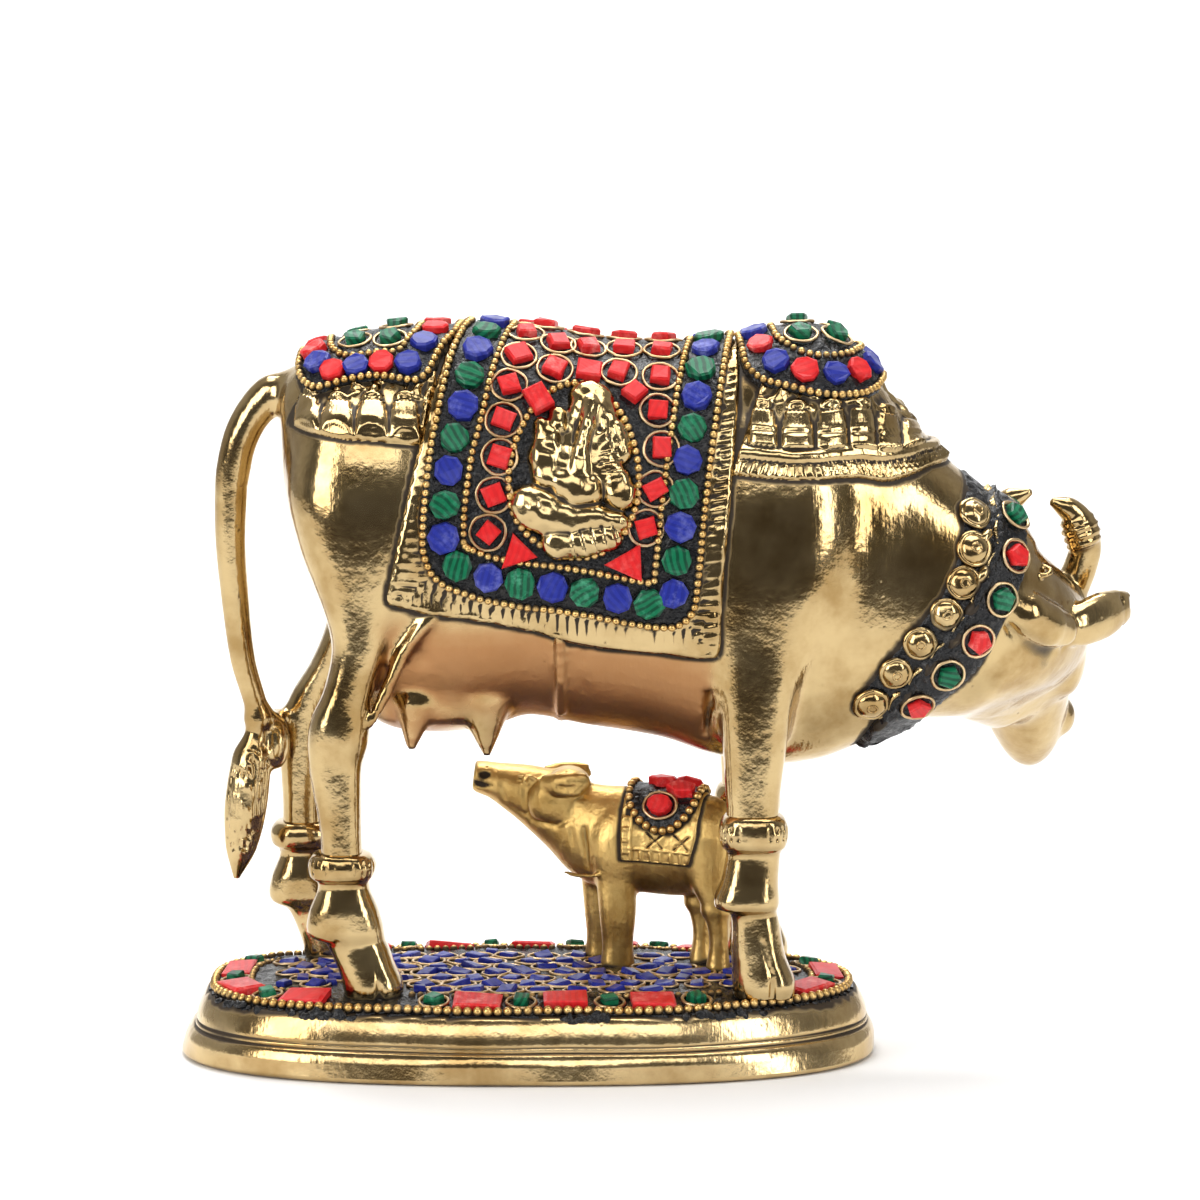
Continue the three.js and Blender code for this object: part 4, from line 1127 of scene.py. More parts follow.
def rough(spots: Array, seed: int, grain: float) -> Array:
    """Smooth noise about zero over rows of along and girth.

    Args:
        spots: places as ways along and across.
        seed: start of the noise.
        grain: size of its lumps.

    Returns:
        Height of the noise at each place.
    """
    random = np.random.default_rng(seed)
    table = random.normal(size=(128, 128, 1))
    place = spots / grain
    return spread(np.tile(table, (3, 3, 1)), place[..., 0] % 128 + 128, place[..., 1] % 128 + 128)[..., 0] * 2


class Graph:
    """Node tree under construction."""

    def __init__(self, tree: bpy.types.NodeTree) -> None:
        """Starts on a tree."""
        self.tree = tree

    def add(self, kind: str, inputs: Optional[dict] = None, **settings: object) -> bpy.types.Node:
        """Adds a node.

        Args:
            kind: type of the node.
            inputs: values or sockets by input name or number.
            **settings: properties of the node.

        Returns:
            The node.
        """
        node = self.tree.nodes.new(kind)
        for key, value in settings.items():
            setattr(node, key, value)
        for key, value in (inputs or {}).items():
            self.feed(node.inputs[key], value)
        return node

    def feed(self, socket: bpy.types.NodeSocket, value: Given) -> None:
        """Links or sets an input.

        Args:
            socket: input of a node.
            value: number, colour or output that it gets.
        """
        if isinstance(value, bpy.types.NodeSocket):
            self.tree.links.new(value, socket)
        else:
            socket.default_value = value

    def out(self, kind: str, inputs: Optional[dict] = None, **settings: object) -> bpy.types.NodeSocket:
        """Adds a node and gives its first output."""
        return self.add(kind, inputs, **settings).outputs[0]

    def math(self, operation: str, *values: Given) -> bpy.types.NodeSocket:
        """Result of a sum on numbers."""
        return self.out("ShaderNodeMath", dict(enumerate(values)), operation=operation)

    def times(self, first: Given, second: Given) -> bpy.types.NodeSocket:
        """Product of two numbers."""
        return self.math("MULTIPLY", first, second)

    def noise(self, place: Given, scale: float, detail: float,
              roughness: float = 0.5) -> bpy.types.NodeSocket:
        """Noise at a place, from 0 to 1."""
        return self.out("ShaderNodeTexNoise", {
            "Vector": place, "Scale": scale, "Detail": detail, "Roughness": roughness})

    def attribute(self, name: str) -> bpy.types.NodeSocket:
        """Number that the mesh carries under a name."""
        return self.add("ShaderNodeAttribute", attribute_name=name).outputs["Fac"]

    def bump(self, shader: bpy.types.Node, height: Given, strength: float, distance: float) -> None:
        """Gives a shader small relief."""
        relief = self.out("ShaderNodeBump", {"Strength": strength, "Distance": distance, "Height": height})
        self.feed(shader.inputs["Normal"], relief)

    def scaled(self, value: Given, low: float, high: float, to_low: float = 0,
               to_high: float = 1) -> bpy.types.NodeSocket:
        """A value moved softly from one range to another."""
        inputs = {"Value": value, "From Min": low, "From Max": high, "To Min": to_low, "To Max": to_high}
        return self.out("ShaderNodeMapRange", inputs, interpolation_type="SMOOTHSTEP")

    def mixed(self, share: Given, first: Given, second: Given) -> bpy.types.NodeSocket:
        """Two colours mixed.

        Args:
            share: share of the second colour.
            first: first colour.
            second: second colour.

        Returns:
            Output of the new node.
        """
        node = self.add("ShaderNodeMix", data_type="RGBA")
        for slot, value in ((0, share), (6, first), (7, second)):
            self.feed(node.inputs[slot], value)
        return node.outputs[2]


def group(name: str, kind: str, inputs: Sequence, outputs: Sequence) -> tuple:
    """Starts a node group with an interface.

    Args:
        name: the group's name.
        kind: type of its tree.
        inputs: name, kind and default value (None for none) of each input.
        outputs: name and kind of each output.

    Returns:
        The group, its graph and what its inputs give.
    """
    tree = bpy.data.node_groups.new(name, kind)
    for label, sort, value in inputs:
        item = tree.interface.new_socket(label, in_out="INPUT", socket_type=f"NodeSocket{sort}")
        if value is not None:
            item.default_value = value
    for label, sort in outputs:
        tree.interface.new_socket(label, in_out="OUTPUT", socket_type=f"NodeSocket{sort}")
    graph = Graph(tree)
    return tree, graph, graph.add("NodeGroupInput").outputs


# Grain of the noise that bends ornaments, and how far apart two seeds sample it
UNEVEN_SCALE = 420.0
SEED_STEP = 7.31


class Ornament(Enum):
    """Small parts that repeat."""

    BEAD = "bead"
    RING = "ring"
    CHIP = "chip"
    BELL = "bell"


class OrnamentTrees:
    """Geometry node groups that set an ornament on every point of a mesh."""

    def __init__(self) -> None:
        """Builds one group per kind."""
        self.trees = {kind: self.build(kind) for kind in Ornament}

    def build(self, kind: Ornament) -> bpy.types.NodeTree:
        """Builds a group.

        Args:
            kind: which ornament it sets.

        Returns:
            The group.
        """
        tree, graph, given = group(f"{kind.value}_row", "GeometryNodeTree", (
            ("Geometry", "Geometry", None), ("Radius", "Float", 0.001), ("Thickness", "Float", 0.0004),
            ("Sides", "Int", 6),
            ("Unevenness", "Float", 0.0), ("Seed", "Int", 1), ("Material", "Material", None)),
            (("Geometry", "Geometry"),))
        made = getattr(self, kind.value)(graph, given)
        named = lambda name: graph.out("GeometryNodeInputNamedAttribute", {"Name": name},
                                       data_type="FLOAT_VECTOR")
        align = "FunctionNodeAlignRotationToVector"
        facing = graph.out(align, {"Vector": named("facing")}, axis="Z")
        turned = graph.out(align, {"Rotation": facing, "Vector": named("along")}, axis="X", pivot_axis="Z")
        set_out = graph.out("GeometryNodeInstanceOnPoints", {
            "Points": given["Geometry"], "Instance": made, "Rotation": turned, "Scale": named("size")})
        real = graph.out("GeometryNodeRealizeInstances", {0: set_out})
        noise = graph.add("ShaderNodeTexNoise", {
            "Vector": graph.out("GeometryNodeInputPosition"), "W": graph.times(given["Seed"], SEED_STEP),
            "Scale": UNEVEN_SCALE, "Detail": 0.0}, noise_dimensions="4D").outputs["Color"]
        centred = graph.out("ShaderNodeVectorMath", {0: noise, 1: (0.5, 0.5, 0.5)}, operation="SUBTRACT")
        moved = graph.out("ShaderNodeVectorMath", {0: centred, "Scale": given["Unevenness"]},
                          operation="SCALE")
        bent = graph.out("GeometryNodeSetPosition", {"Geometry": real, "Offset": moved})
        shaded = graph.out("GeometryNodeSetShadeSmooth",
                           {"Geometry": bent, "Shade Smooth": kind is not Ornament.CHIP})
        painted = graph.out("GeometryNodeSetMaterial", {"Geometry": shaded, "Material": given["Material"]})
        graph.add("NodeGroupOutput", {"Geometry": painted})
        return tree

    @staticmethod
    def circle(graph: Graph, radius: Given, sides: int) -> bpy.types.NodeSocket:
        """Circle as a curve."""
        return graph.out("GeometryNodeCurvePrimitiveCircle", {"Resolution": sides, "Radius": radius})

    @staticmethod
    def bead(graph: Graph, given: Dict[str, bpy.types.NodeSocket]) -> bpy.types.NodeSocket:
        """Ball sunk a little in its bed."""
        return graph.out("GeometryNodeMeshIcoSphere", {"Radius": given["Radius"], "Subdivisions": 2})

    @classmethod
    def ring(cls, graph: Graph, given: Dict[str, bpy.types.NodeSocket]) -> bpy.types.NodeSocket:
        """Ring of round wire.

        Args:
            graph: tree that is built.
            given: inputs of the group.

        Returns:
            Output of the new node.
        """
        return graph.out("GeometryNodeCurveToMesh", {
            "Curve": cls.circle(graph, given["Radius"], 22),
            "Profile Curve": cls.circle(graph, given["Thickness"], 7)})

    @staticmethod
    def chip(graph: Graph, given: Dict[str, bpy.types.NodeSocket]) -> bpy.types.NodeSocket:
        """Flat chip with a ground edge, its sides square to the row.

        Args:
            graph: tree that is built.
            given: inputs of the group.

        Returns:
            Output of the new node.
        """
        block = graph.add("GeometryNodeMeshCylinder", {
            "Vertices": given["Sides"], "Radius": given["Radius"], "Depth": given["Thickness"]})
        turn = graph.out("ShaderNodeCombineXYZ", {"Z": graph.math("DIVIDE", math.pi, given["Sides"])})
        square = graph.out("GeometryNodeTransform", {"Geometry": block.outputs["Mesh"], "Rotation": turn})
        edge = graph.add("GeometryNodeExtrudeMesh", {
            "Mesh": square, "Selection": block.outputs["Top"],
            "Offset Scale": graph.times(given["Thickness"], 0.22)})
        return graph.out("GeometryNodeScaleElements", {
            "Geometry": edge.outputs["Mesh"], "Selection": edge.outputs["Top"], "Scale": 0.84})

    @classmethod
    def bell(cls, graph: Graph, given: Dict[str, bpy.types.NodeSocket]) -> bpy.types.NodeSocket:
        """Low dome with a rim and a small ring on top.

        Args:
            graph: tree that is built.
            given: inputs of the group.

        Returns:
            Output of the new node.
        """
        part = lambda share: graph.times(given["Radius"], share)
        dome = graph.out("GeometryNodeMeshIcoSphere", {"Radius": part(0.9), "Subdivisions": 3})
        flat = graph.out("GeometryNodeTransform", {"Geometry": dome, "Scale": (1.0, 1.0, 0.62)})
        joined = graph.add("GeometryNodeJoinGeometry")
        graph.tree.links.new(flat, joined.inputs[0])
        for reach, wire, height in ((0.9, 0.17, 0.05), (0.26, 0.085, 0.545)):
            hoop = graph.out("GeometryNodeCurveToMesh", {
                "Curve": cls.circle(graph, part(reach), 28),
                "Profile Curve": cls.circle(graph, part(wire), 8)})
            lift = graph.out("ShaderNodeCombineXYZ", {"Z": part(height)})
            raised = graph.out("GeometryNodeTransform", {"Geometry": hoop, "Translation": lift})
            graph.tree.links.new(raised, joined.inputs[0])
        return joined.outputs[0]

    def set_out(self, name: str, kind: Ornament, places: Places, radius: float, thickness: float = 0.5,
                material: Optional[bpy.types.Material] = None, sides: int = 6, uneven: float = 0.0,
                seed: int = 1) -> bpy.types.Object:
        """Sets ornaments at places and returns them as one plain mesh.

        Args:
            name: the piece's name.
            kind: which ornament.
            places: where they sit.
            radius: radius of each.
            thickness: thickness of each.
            material: its material.
            sides: corners of a chip.
            uneven: how far corners stray.
            seed: start of the noise.

        Returns:
            The new object.
        """
        mesh = bpy.data.meshes.new(name)
        mesh.vertices.add(len(places.at))
        mesh.vertices.foreach_set("co", (places.at * MM).astype(np.float32).ravel())
        chance = np.random.default_rng(seed).random(len(places.at))
        spread_size = places.size if places.size.ndim == 2 else np.repeat(places.size[:, None], 3, axis=1)
        for key, values in (("facing", places.out), ("along", places.along), ("size", spread_size)):
            made = mesh.attributes.new(key, "FLOAT_VECTOR", "POINT")
            made.data.foreach_set("vector", values.astype(np.float32).ravel())
        mesh.attributes.new("chance", "FLOAT", "POINT").data.foreach_set("value", chance.astype(np.float32))
        made = bpy.data.objects.new(name, mesh)
        bpy.context.scene.collection.objects.link(made)
        modifier = made.modifiers.new(kind.value, "NODES")
        tree = self.trees[kind]
        modifier.node_group = tree
        wanted = {"Radius": radius * MM, "Thickness": thickness * MM, "Sides": sides,
                  "Unevenness": uneven * MM, "Seed": seed, "Material": material}
        for item in tree.interface.items_tree:
            if item.in_out == "INPUT" and item.name in wanted:
                modifier[item.identifier] = wanted[item.name]
        scene_now = bpy.context.evaluated_depsgraph_get()
        result = bpy.data.meshes.new_from_object(made.evaluated_get(scene_now))
        made.modifiers.clear()
        made.data = result
        result.name = name
        for key in ("facing", "along", "size"):
            if key in result.attributes:
                result.attributes.remove(result.attributes[key])
        return made


@dataclass(frozen=True)
class BrassFinish:
    """Cast brass: polished colour, colour of the dark patina in its hollows and of the painted shade spots,
    and how rough it is.
    """

    name: str
    colour: tuple
    dark: tuple
    roughness: float
    tarnish_and_shade: float
    relief: float


@dataclass(frozen=True)
class StoneFinish:
    """Ground stone: main colour, pale bloom, dark veins and how far the veins show."""

    name: str
    colour: tuple
    bloom: tuple
    vein: tuple
    veins: float
    roughness: float


# Clouded brass against bright brass, the darker coppery belly of painted shade with coppery tarnish, and the
# two greys of the resin
WARM = (0.62, 0.54, 0.42)
COPPER_AND_SHADE = (0.42, 0.205, 0.085, 1)
RESIN_BLACK = (0.006, 0.006, 0.007, 1)
RESIN_GREY = (0.05, 0.046, 0.042, 1)
BRASS = BrassFinish("cow_brass", (0.54, 0.4, 0.2), (0.03, 0.019, 0.009), 0.1, 0.44, 0.8)
CALF_BRASS = BrassFinish("calf_brass", (0.62, 0.42, 0.15), (0.03, 0.018, 0.008), 0.34, 0.42, 1.8)
PLINTH_BRASS = BrassFinish("plinth_brass", (0.66, 0.49, 0.25), (0.04, 0.025, 0.012), 0.13, 0.4, 0.8)
BEAD_BRASS = BrassFinish("bead_brass", (0.78, 0.52, 0.2), (0.07, 0.04, 0.015), 0.26, 0.3, 0.4)
WIRE_BRASS = BrassFinish("wire_brass", (0.7, 0.52, 0.3), (0.08, 0.05, 0.03), 0.3, 0.3, 0.4)
RED = StoneFinish("red_stone", (0.66, 0.018, 0.02), (0.85, 0.25, 0.22), (0.35, 0.005, 0.01), 0.25, 0.36)
BLUE = StoneFinish("blue_stone", (0.018, 0.028, 0.27), (0.2, 0.22, 0.55), (0.006, 0.008, 0.1), 0.35, 0.34)
GREEN = StoneFinish("green_stone", (0.004, 0.14, 0.06), (0.1, 0.42, 0.25), (0.002, 0.045, 0.022), 0.9, 0.34)


class Paints:
    """Materials of the statue, built from shared shader groups."""

    def __init__(self) -> None:
        """Builds the groups and every material."""
        self.wear_and_shade = self.cast_wear()
        self.veins = self.stone_veins()
        self.cow, self.calf, self.plinth, self.bead, self.wire = map(
            self.brass, (BRASS, CALF_BRASS, PLINTH_BRASS, BEAD_BRASS, WIRE_BRASS))
        self.red, self.blue, self.green = map(self.stone, (RED, BLUE, GREEN))
        self.resin = self.black_resin()

    @staticmethod
    def cast_wear() -> bpy.types.NodeTree:
        """Group that turns hollows, with the painted shade spots laid into them, and noise into tarnish and
        painted shade, cloudiness and relief.

        Returns:
            The node group.
        """
        tree, graph, given = group(
            "cast_wear", "ShaderNodeTree", (("Hollow", "Float", 0.0), ("Amount", "Float", 0.3)),
            (("Tarnish", "Float"), ("Cloud", "Float"), ("Relief", "Float")))
        place = graph.add("ShaderNodeTexCoord").outputs["Object"]
        cloud = graph.noise(place, 55.0, 5.0, 0.62)
        grit = graph.noise(place, 520.0, 3.0)
        strokes = graph.out("ShaderNodeMapping", {
            "Vector": place, "Rotation": (0.3, 0.5, 0.2), "Scale": (900.0, 500.0, 46.0)})
        brushed = graph.noise(strokes, 1.0, 2.0)
        pits = graph.add("ShaderNodeTexVoronoi",
                         {"Vector": place, "Scale": 260.0, "Randomness": 1.0}).outputs["Distance"]
        patchy = graph.times(graph.scaled(pits, 0.0, 0.16, 1, 0), graph.scaled(cloud, 0.5, 0.62))
        uneven = graph.math("MULTIPLY_ADD", graph.math("SUBTRACT", cloud, 0.5), 0.5, given["Hollow"])
        low = graph.math("SUBTRACT", 0.46, graph.times(given["Amount"], 0.6))
        tarnish_and_shade = graph.scaled(uneven, low, graph.math("ADD", low, 0.34))
        tarnish_and_shade = graph.math("MAXIMUM", tarnish_and_shade, graph.times(patchy, 0.5))
        relief = graph.math("ADD", graph.times(grit, 0.5), graph.times(brushed, 0.35))
        relief = graph.math("SUBTRACT", relief, graph.times(patchy, 0.6))
        relief = graph.math("ADD", relief, graph.times(cloud, 2.2))
        graph.add("NodeGroupOutput", {"Tarnish": tarnish_and_shade, "Cloud": cloud, "Relief": relief})
        return tree

    @staticmethod
    def stone_veins() -> bpy.types.NodeTree:
        """Group with the veins, the pale bloom and the ground relief of a stone.

        Returns:
            The node group.
        """
        tree, graph, given = group("stone_veins", "ShaderNodeTree", (("Chance", "Float", 0.0),),
                                   (("Vein", "Float"), ("Bloom", "Float"), ("Relief", "Float")))
        place = graph.add("ShaderNodeTexCoord").outputs["Object"]
        turn = graph.times(given["Chance"], 6.28)
        shifted = graph.out("ShaderNodeVectorRotate", {"Vector": place, "Angle": turn},
                            rotation_type="Y_AXIS")
        band = graph.add("ShaderNodeTexWave", {
            "Vector": shifted, "Scale": 210.0, "Distortion": 5.0, "Detail": 2.0,
            "Detail Scale": 0.6}).outputs[1]
        bloom = graph.noise(shifted, 330.0, 4.0, 0.7)
        strokes = graph.out("ShaderNodeMapping", {"Vector": shifted, "Scale": (1800.0, 260.0, 260.0)})
        scratch = graph.noise(strokes, 1.0, 1.0)
        pale = graph.times(graph.scaled(bloom, 0.45, 0.75),
                           graph.scaled(given["Chance"], 0.35, 1.0, 0.12, 0.75))
        graph.add("NodeGroupOutput", {
            "Vein": graph.scaled(band, 0.35, 0.75), "Bloom": pale,
            "Relief": graph.math("ADD", bloom, graph.times(scratch, 0.6))})
        return tree

    @staticmethod
    def blank(name: str, roughness: float = 0.5, specular: float = 0.5) -> tuple:
        """New material, its graph and its main shader.

        Args:
            name: name of the material.
            roughness: its roughness.
            specular: its reflection.

        Returns:
            The material, its graph and its main shader.
        """
        material = bpy.data.materials.new(name)
        material.use_nodes = True
        shader = material.node_tree.nodes["Principled BSDF"]
        shader.inputs["Roughness"].default_value = roughness
        shader.inputs["Specular IOR Level"].default_value = specular
        return material, Graph(material.node_tree), shader

    def brass(self, finish: BrassFinish) -> bpy.types.Material:
        """Brass with dark patina in its hollows, the painted shade spots and a coppery painted shade on the
        belly.

        Args:
            finish: colours and looks of the finish.

        Returns:
            The new material.
        """
        material, graph, shader = self.blank(finish.name)
        wear_and_shade = graph.add("ShaderNodeGroup", {}, node_tree=self.wear_and_shade)
        graph.feed(wear_and_shade.inputs["Hollow"], graph.attribute("hollow"))
        wear_and_shade.inputs["Amount"].default_value = finish.tarnish_and_shade
        tarnish_and_shade, cloud, relief = (wear_and_shade.outputs[n] for n in ("Tarnish", "Cloud", "Relief"))
        warm = tuple(c * k for c, k in zip(finish.colour, WARM))
        base = graph.mixed(graph.scaled(cloud, 0.3, 0.62), (*warm, 1), (*finish.colour, 1))
        # Painted shade with coppery tarnish: darker coppery colour on the downward-facing belly
        copper = graph.attribute("copper")
        base = graph.mixed(graph.times(copper, 0.9), base, COPPER_AND_SHADE)
        # Painted shade: this mix darkens the patina in hollows and the painted shade spots alike
        graph.feed(shader.inputs["Base Color"], graph.mixed(tarnish_and_shade, base, (*finish.dark, 1)))
        graph.feed(shader.inputs["Metallic"], graph.scaled(tarnish_and_shade, 0.2, 1.0, 1.0, 0.35))
        dull = graph.math("MULTIPLY_ADD", tarnish_and_shade, 0.4,
                          graph.math("MULTIPLY_ADD", copper, 0.22, finish.roughness))
        graph.feed(shader.inputs["Roughness"], graph.math("MULTIPLY_ADD", cloud, 0.12, dull))
        graph.bump(shader, relief, 0.35 * finish.relief, 0.0005)
        return material

    def stone(self, finish: StoneFinish) -> bpy.types.Material:
        """Ground stone with veins and a pale bloom.

        Args:
            finish: colours and looks of the finish.

        Returns:
            The new material.
        """
        material, graph, shader = self.blank(finish.name, finish.roughness, 0.25)
        veins = graph.add("ShaderNodeGroup", {}, node_tree=self.veins)
        graph.feed(veins.inputs["Chance"], graph.attribute("chance"))
        share = graph.times(veins.outputs["Vein"], finish.veins)
        base = graph.mixed(share, (*finish.colour, 1), (*finish.vein, 1))
        graph.feed(shader.inputs["Base Color"], graph.mixed(veins.outputs["Bloom"], base, (*finish.bloom, 1)))
        graph.bump(shader, veins.outputs["Relief"], 0.3, 0.0003)
        return material

    def black_resin(self) -> bpy.types.Material:
        """Black resin with a glossy crumpled skin.

        Returns:
            The new material.
        """
        material, graph, shader = self.blank("resin", 0.18, 0.3)
        noise = graph.noise(graph.add("ShaderNodeTexCoord").outputs["Object"], 900.0, 4.0)
        base = graph.mixed(graph.scaled(noise, 0.5, 0.8), RESIN_BLACK, RESIN_GREY)
        graph.feed(shader.inputs["Base Color"], base)
        graph.bump(shader, noise, 0.8, 0.0006)
        return material


# Sizes of the mosaic: cast slab, black bed, chain beads, round tiles and wire rings
SLAB = 1.7
BED = 2.6
BEAD_RADIUS = 0.88
BEAD_PITCH = 1.78
TILE_RADIUS = 3.45
RING_RADIUS = 4.0
WIRE = 0.36

# Outlines on the near side in distance along the back and girth, from the top line round to the top line
BLANKET_BEADS = (
    (-12.2, 0), (-14.4, -9.2), (-16.8, -18.8), (-19.2, -30.8), (-21.2, -38.4), (-22.4, -46),
    (-23.2, -54.4), (-23.2, -61.2), (-21.2, -66), (-17.6, -69.2), (-10, -71.8), (1.2, -73), (14.4, -72.4),
    (27.6, -73.6), (33, -73.6), (36, -72), (37.8, -69.2), (38.4, -62.8), (39.6, -50), (41.2, -37.2),
    (43.2, -24), (46, -8), (47.2, 0),
)
BLANKET_EDGE = (
    (-15.4, 0), (-18.8, -18.8), (-21.4, -28.4), (-25.4, -46.4), (-29, -63.6), (-31, -73.6), (-30.4, -75),
    (-18.8, -76.6), (-5.6, -78.2), (9.2, -80.4), (28, -80.6), (42.6, -81.6), (43.4, -80.6), (44.2, -63.6),
    (45.8, -46.4), (47.3, -29.2), (48.4, -12), (49, 0),
)
RUMP_BEADS = (
    (-49.6, 0), (-50, -7.6), (-49.6, -12.4), (-48.4, -16.4), (-46.8, -19.2), (-44.8, -20.4), (-40, -20.1),
    (-34.4, -20.4), (-31.2, -21.2), (-27.6, -22.4), (-24.4, -23.4), (-22, -22), (-20.8, -19.2),
    (-19.6, -15.6), (-18, -12), (-16, -8.4), (-14.6, 0),
)
RUMP_INNER = (
    (-43.8, 0), (-43.6, -6.8), (-42.4, -10.8), (-40.8, -12.8), (-38, -14), (-34.4, -14), (-31.2, -14.4),
    (-28.4, -15.2), (-27.2, -13.2), (-26, -9.6), (-24.4, -6.4), (-23.4, 0),
)
RUMP_STONES = ((-47, -6.6), (-46, -12.4), (-42.8, -16.6), (-37.6, -17), (-32, -17.4), (-26, -18.4),
               (-22.6, -12.2), (-20.4, -6))
RUMP_RINGS = ((-30.4, -9.6), (-38.2, -7.6), (-29.4, 0))
HUMP_BEADS = (
    (48.6, 0), (48.8, -5.2), (49.2, -11.2), (49.6, -15.2), (51.2, -18), (53.2, -20), (56, -21.6),
    (60, -23.2), (63.6, -24), (67.2, -23.6), (69.6, -22.8), (72.8, -20.4), (75.2, -17.6), (77.6, -12.4),
    (79, -6), (79.4, 0),
)
HUMP_INNER = (
    (56, 0), (56.8, -8), (58.4, -11.2), (60.4, -13.6), (63.2, -14.6), (66, -14.6), (69.2, -13.2),
    (72, -10.4), (74.2, -4.4), (74.6, 0),
)
HUMP_STONES = ((52.2, -2.6), (53.4, -9.8), (56.4, -16.2), (62.4, -18.9), (69, -17.8), (73.8, -13.2),
               (76.6, -5.6))
HUMP_RINGS = ((62, -8.2), (69.4, -5.8), (61.6, 2))
# Lower edges of the tassel rows, then the tassels on them: distance along and width
RUMP_HEM = ((-53, -19), (-50, -26.5), (-46, -32.4), (-38.4, -37), (-28.4, -38.4), (-19, -38))
RUMP_TASSELS = ((-47.8, 5.6), (-41.4, 7.2), (-34, 7.4), (-26.8, 7), (-20.6, 5.4))
HUMP_HEM = (
    (46, -40.8), (49.7, -42), (54.2, -43.6), (59.6, -44.8), (65, -44), (71.6, -40.2), (78.2, -33.6),
    (85.1, -22.9), (90.2, -14.8), (95, -6), (96, 0),
)
HUMP_TASSELS = ((53, 6.4), (60.5, 7), (68.2, 7.2), (74.9, 6), (80.8, 5.6), (86.4, 5))
# Lumps of the seated figure: corners of each round bar from the medallion's middle, radii and height
FIGURE = (
    (((-1.6, 0.6), (2, 0.6), (3.6, 4)), (7, 7, 6.4), 2.7),
    (((-9.4, -9.8), (-6, -10.6), (-1, -11)), (4.6, 4.8, 3.4), 3.6),
    (((-0.6, -10.4), (5, -9.6), (9.8, -10)), (3, 2.9, 2.2), 3.1),
    (((-4, -17), (1, -15.8), (7.6, -13.4)), (3.3, 3.2, 2.9), 3.4),
    (((-2.4, -3.8), (0, -4.2), (2.8, -3.8)), (3.5, 3.9, 3.5), 3.9),
    (((1.2, 3.8), (1.1, 0.6), (0.6, -2.4)), (2.3, 2.8, 3.6), 4.1),
    (((-5.6, 4.8), (-6.6, 1), (-6.2, -2.2)), (3.1, 3.6, 3.4), 3.2),
    (((-3.8, 8.8), (-3.8, 10.8)), (2.5, 2), 2.6), (((-7.4, 8), (-7, 5.8)), (1.8, 2.2), 2.5),
    (((-5.2, 6), (-4.2, 8.4)), (2.2, 1.9), 2.1), (((7, 3.6), (7.6, 0.4)), (3.3, 3.4), 3.1),
    (((9, -1), (9.8, -4)), (3.3, 3.5), 3.3), (((12, -3), (11.4, -5.4)), (1.8, 1.7), 2.8),
    (((8.8, 9.4), (9.6, 5.6)), (2.8, 3.1), 2.5), (((3.7, 15.2), (3.9, 13)), (4.8, 5.2), 3.5),
    (((4.4, 12.4), (4.8, 7.6)), (4.9, 4.6), 3.2),
    (((3.3, 13.9), (2.7, 9.6), (1.6, 6), (1.1, 3.4)), (2.5, 2.2, 2, 2), 4.4),
    (((6.2, 10.6), (6.4, 8.2)), (1.6, 1.5), 3.5), (((-0.4, 12.4), (-0.8, 8.8)), (1.5, 1.9), 1.9),
)
RING_SPOTS = (
    (0, -8.4), (-1.6, -16.8), (-3.6, -24.6), (-4.8, -32.6), (-5.6, -40.6), (-6.8, -48.8), (-8.2, -57),
    (6.8, -11.4), (13.6, -10.6), (22, -9.4), (30.6, -9), (6.2, -19.4), (20.8, -17.6), (30, -18),
    (29.4, -26.4), (30.2, -34.8), (28.8, -43.6), (26.8, -52),
)
BELL_RADIUS, LUMP_RADIUS = 3.8, 1.7
BELL_SPOTS = ((-10.8, -15.6), (-8, -23), (-7.2, -30.6), (-7.8, -38.6), (-10.4, -47.6), (-12.6, -56.8),
              (-14.6, -66.6))
COLLAR_SPOTS = ((-2, -9), (1, -17.4), (1.9, -26.8), (0.8, -38), (-2, -49.4), (-5, -60.6))


def both(near: Sequence) -> list:
    """An outline continued over the back to the far side."""
    return [*near, *[(x, -g) for x, g in reversed(near) if g]]


def soft_loop(near: Sequence, soft: int = 10) -> Loop:
    """Closed outline over both sides with soft corners.

    Args:
        near: half of the outline, on the near side.
        soft: rounds of smoothing.

    Returns:
        The new outline.
    """
    points, _ = Loop(np.array(both(near), float)).even(0.5)
    for _ in range(soft):
        points = (np.roll(points, 1, axis=0) + 2 * points + np.roll(points, -1, axis=0)) / 4
    return Loop(points)


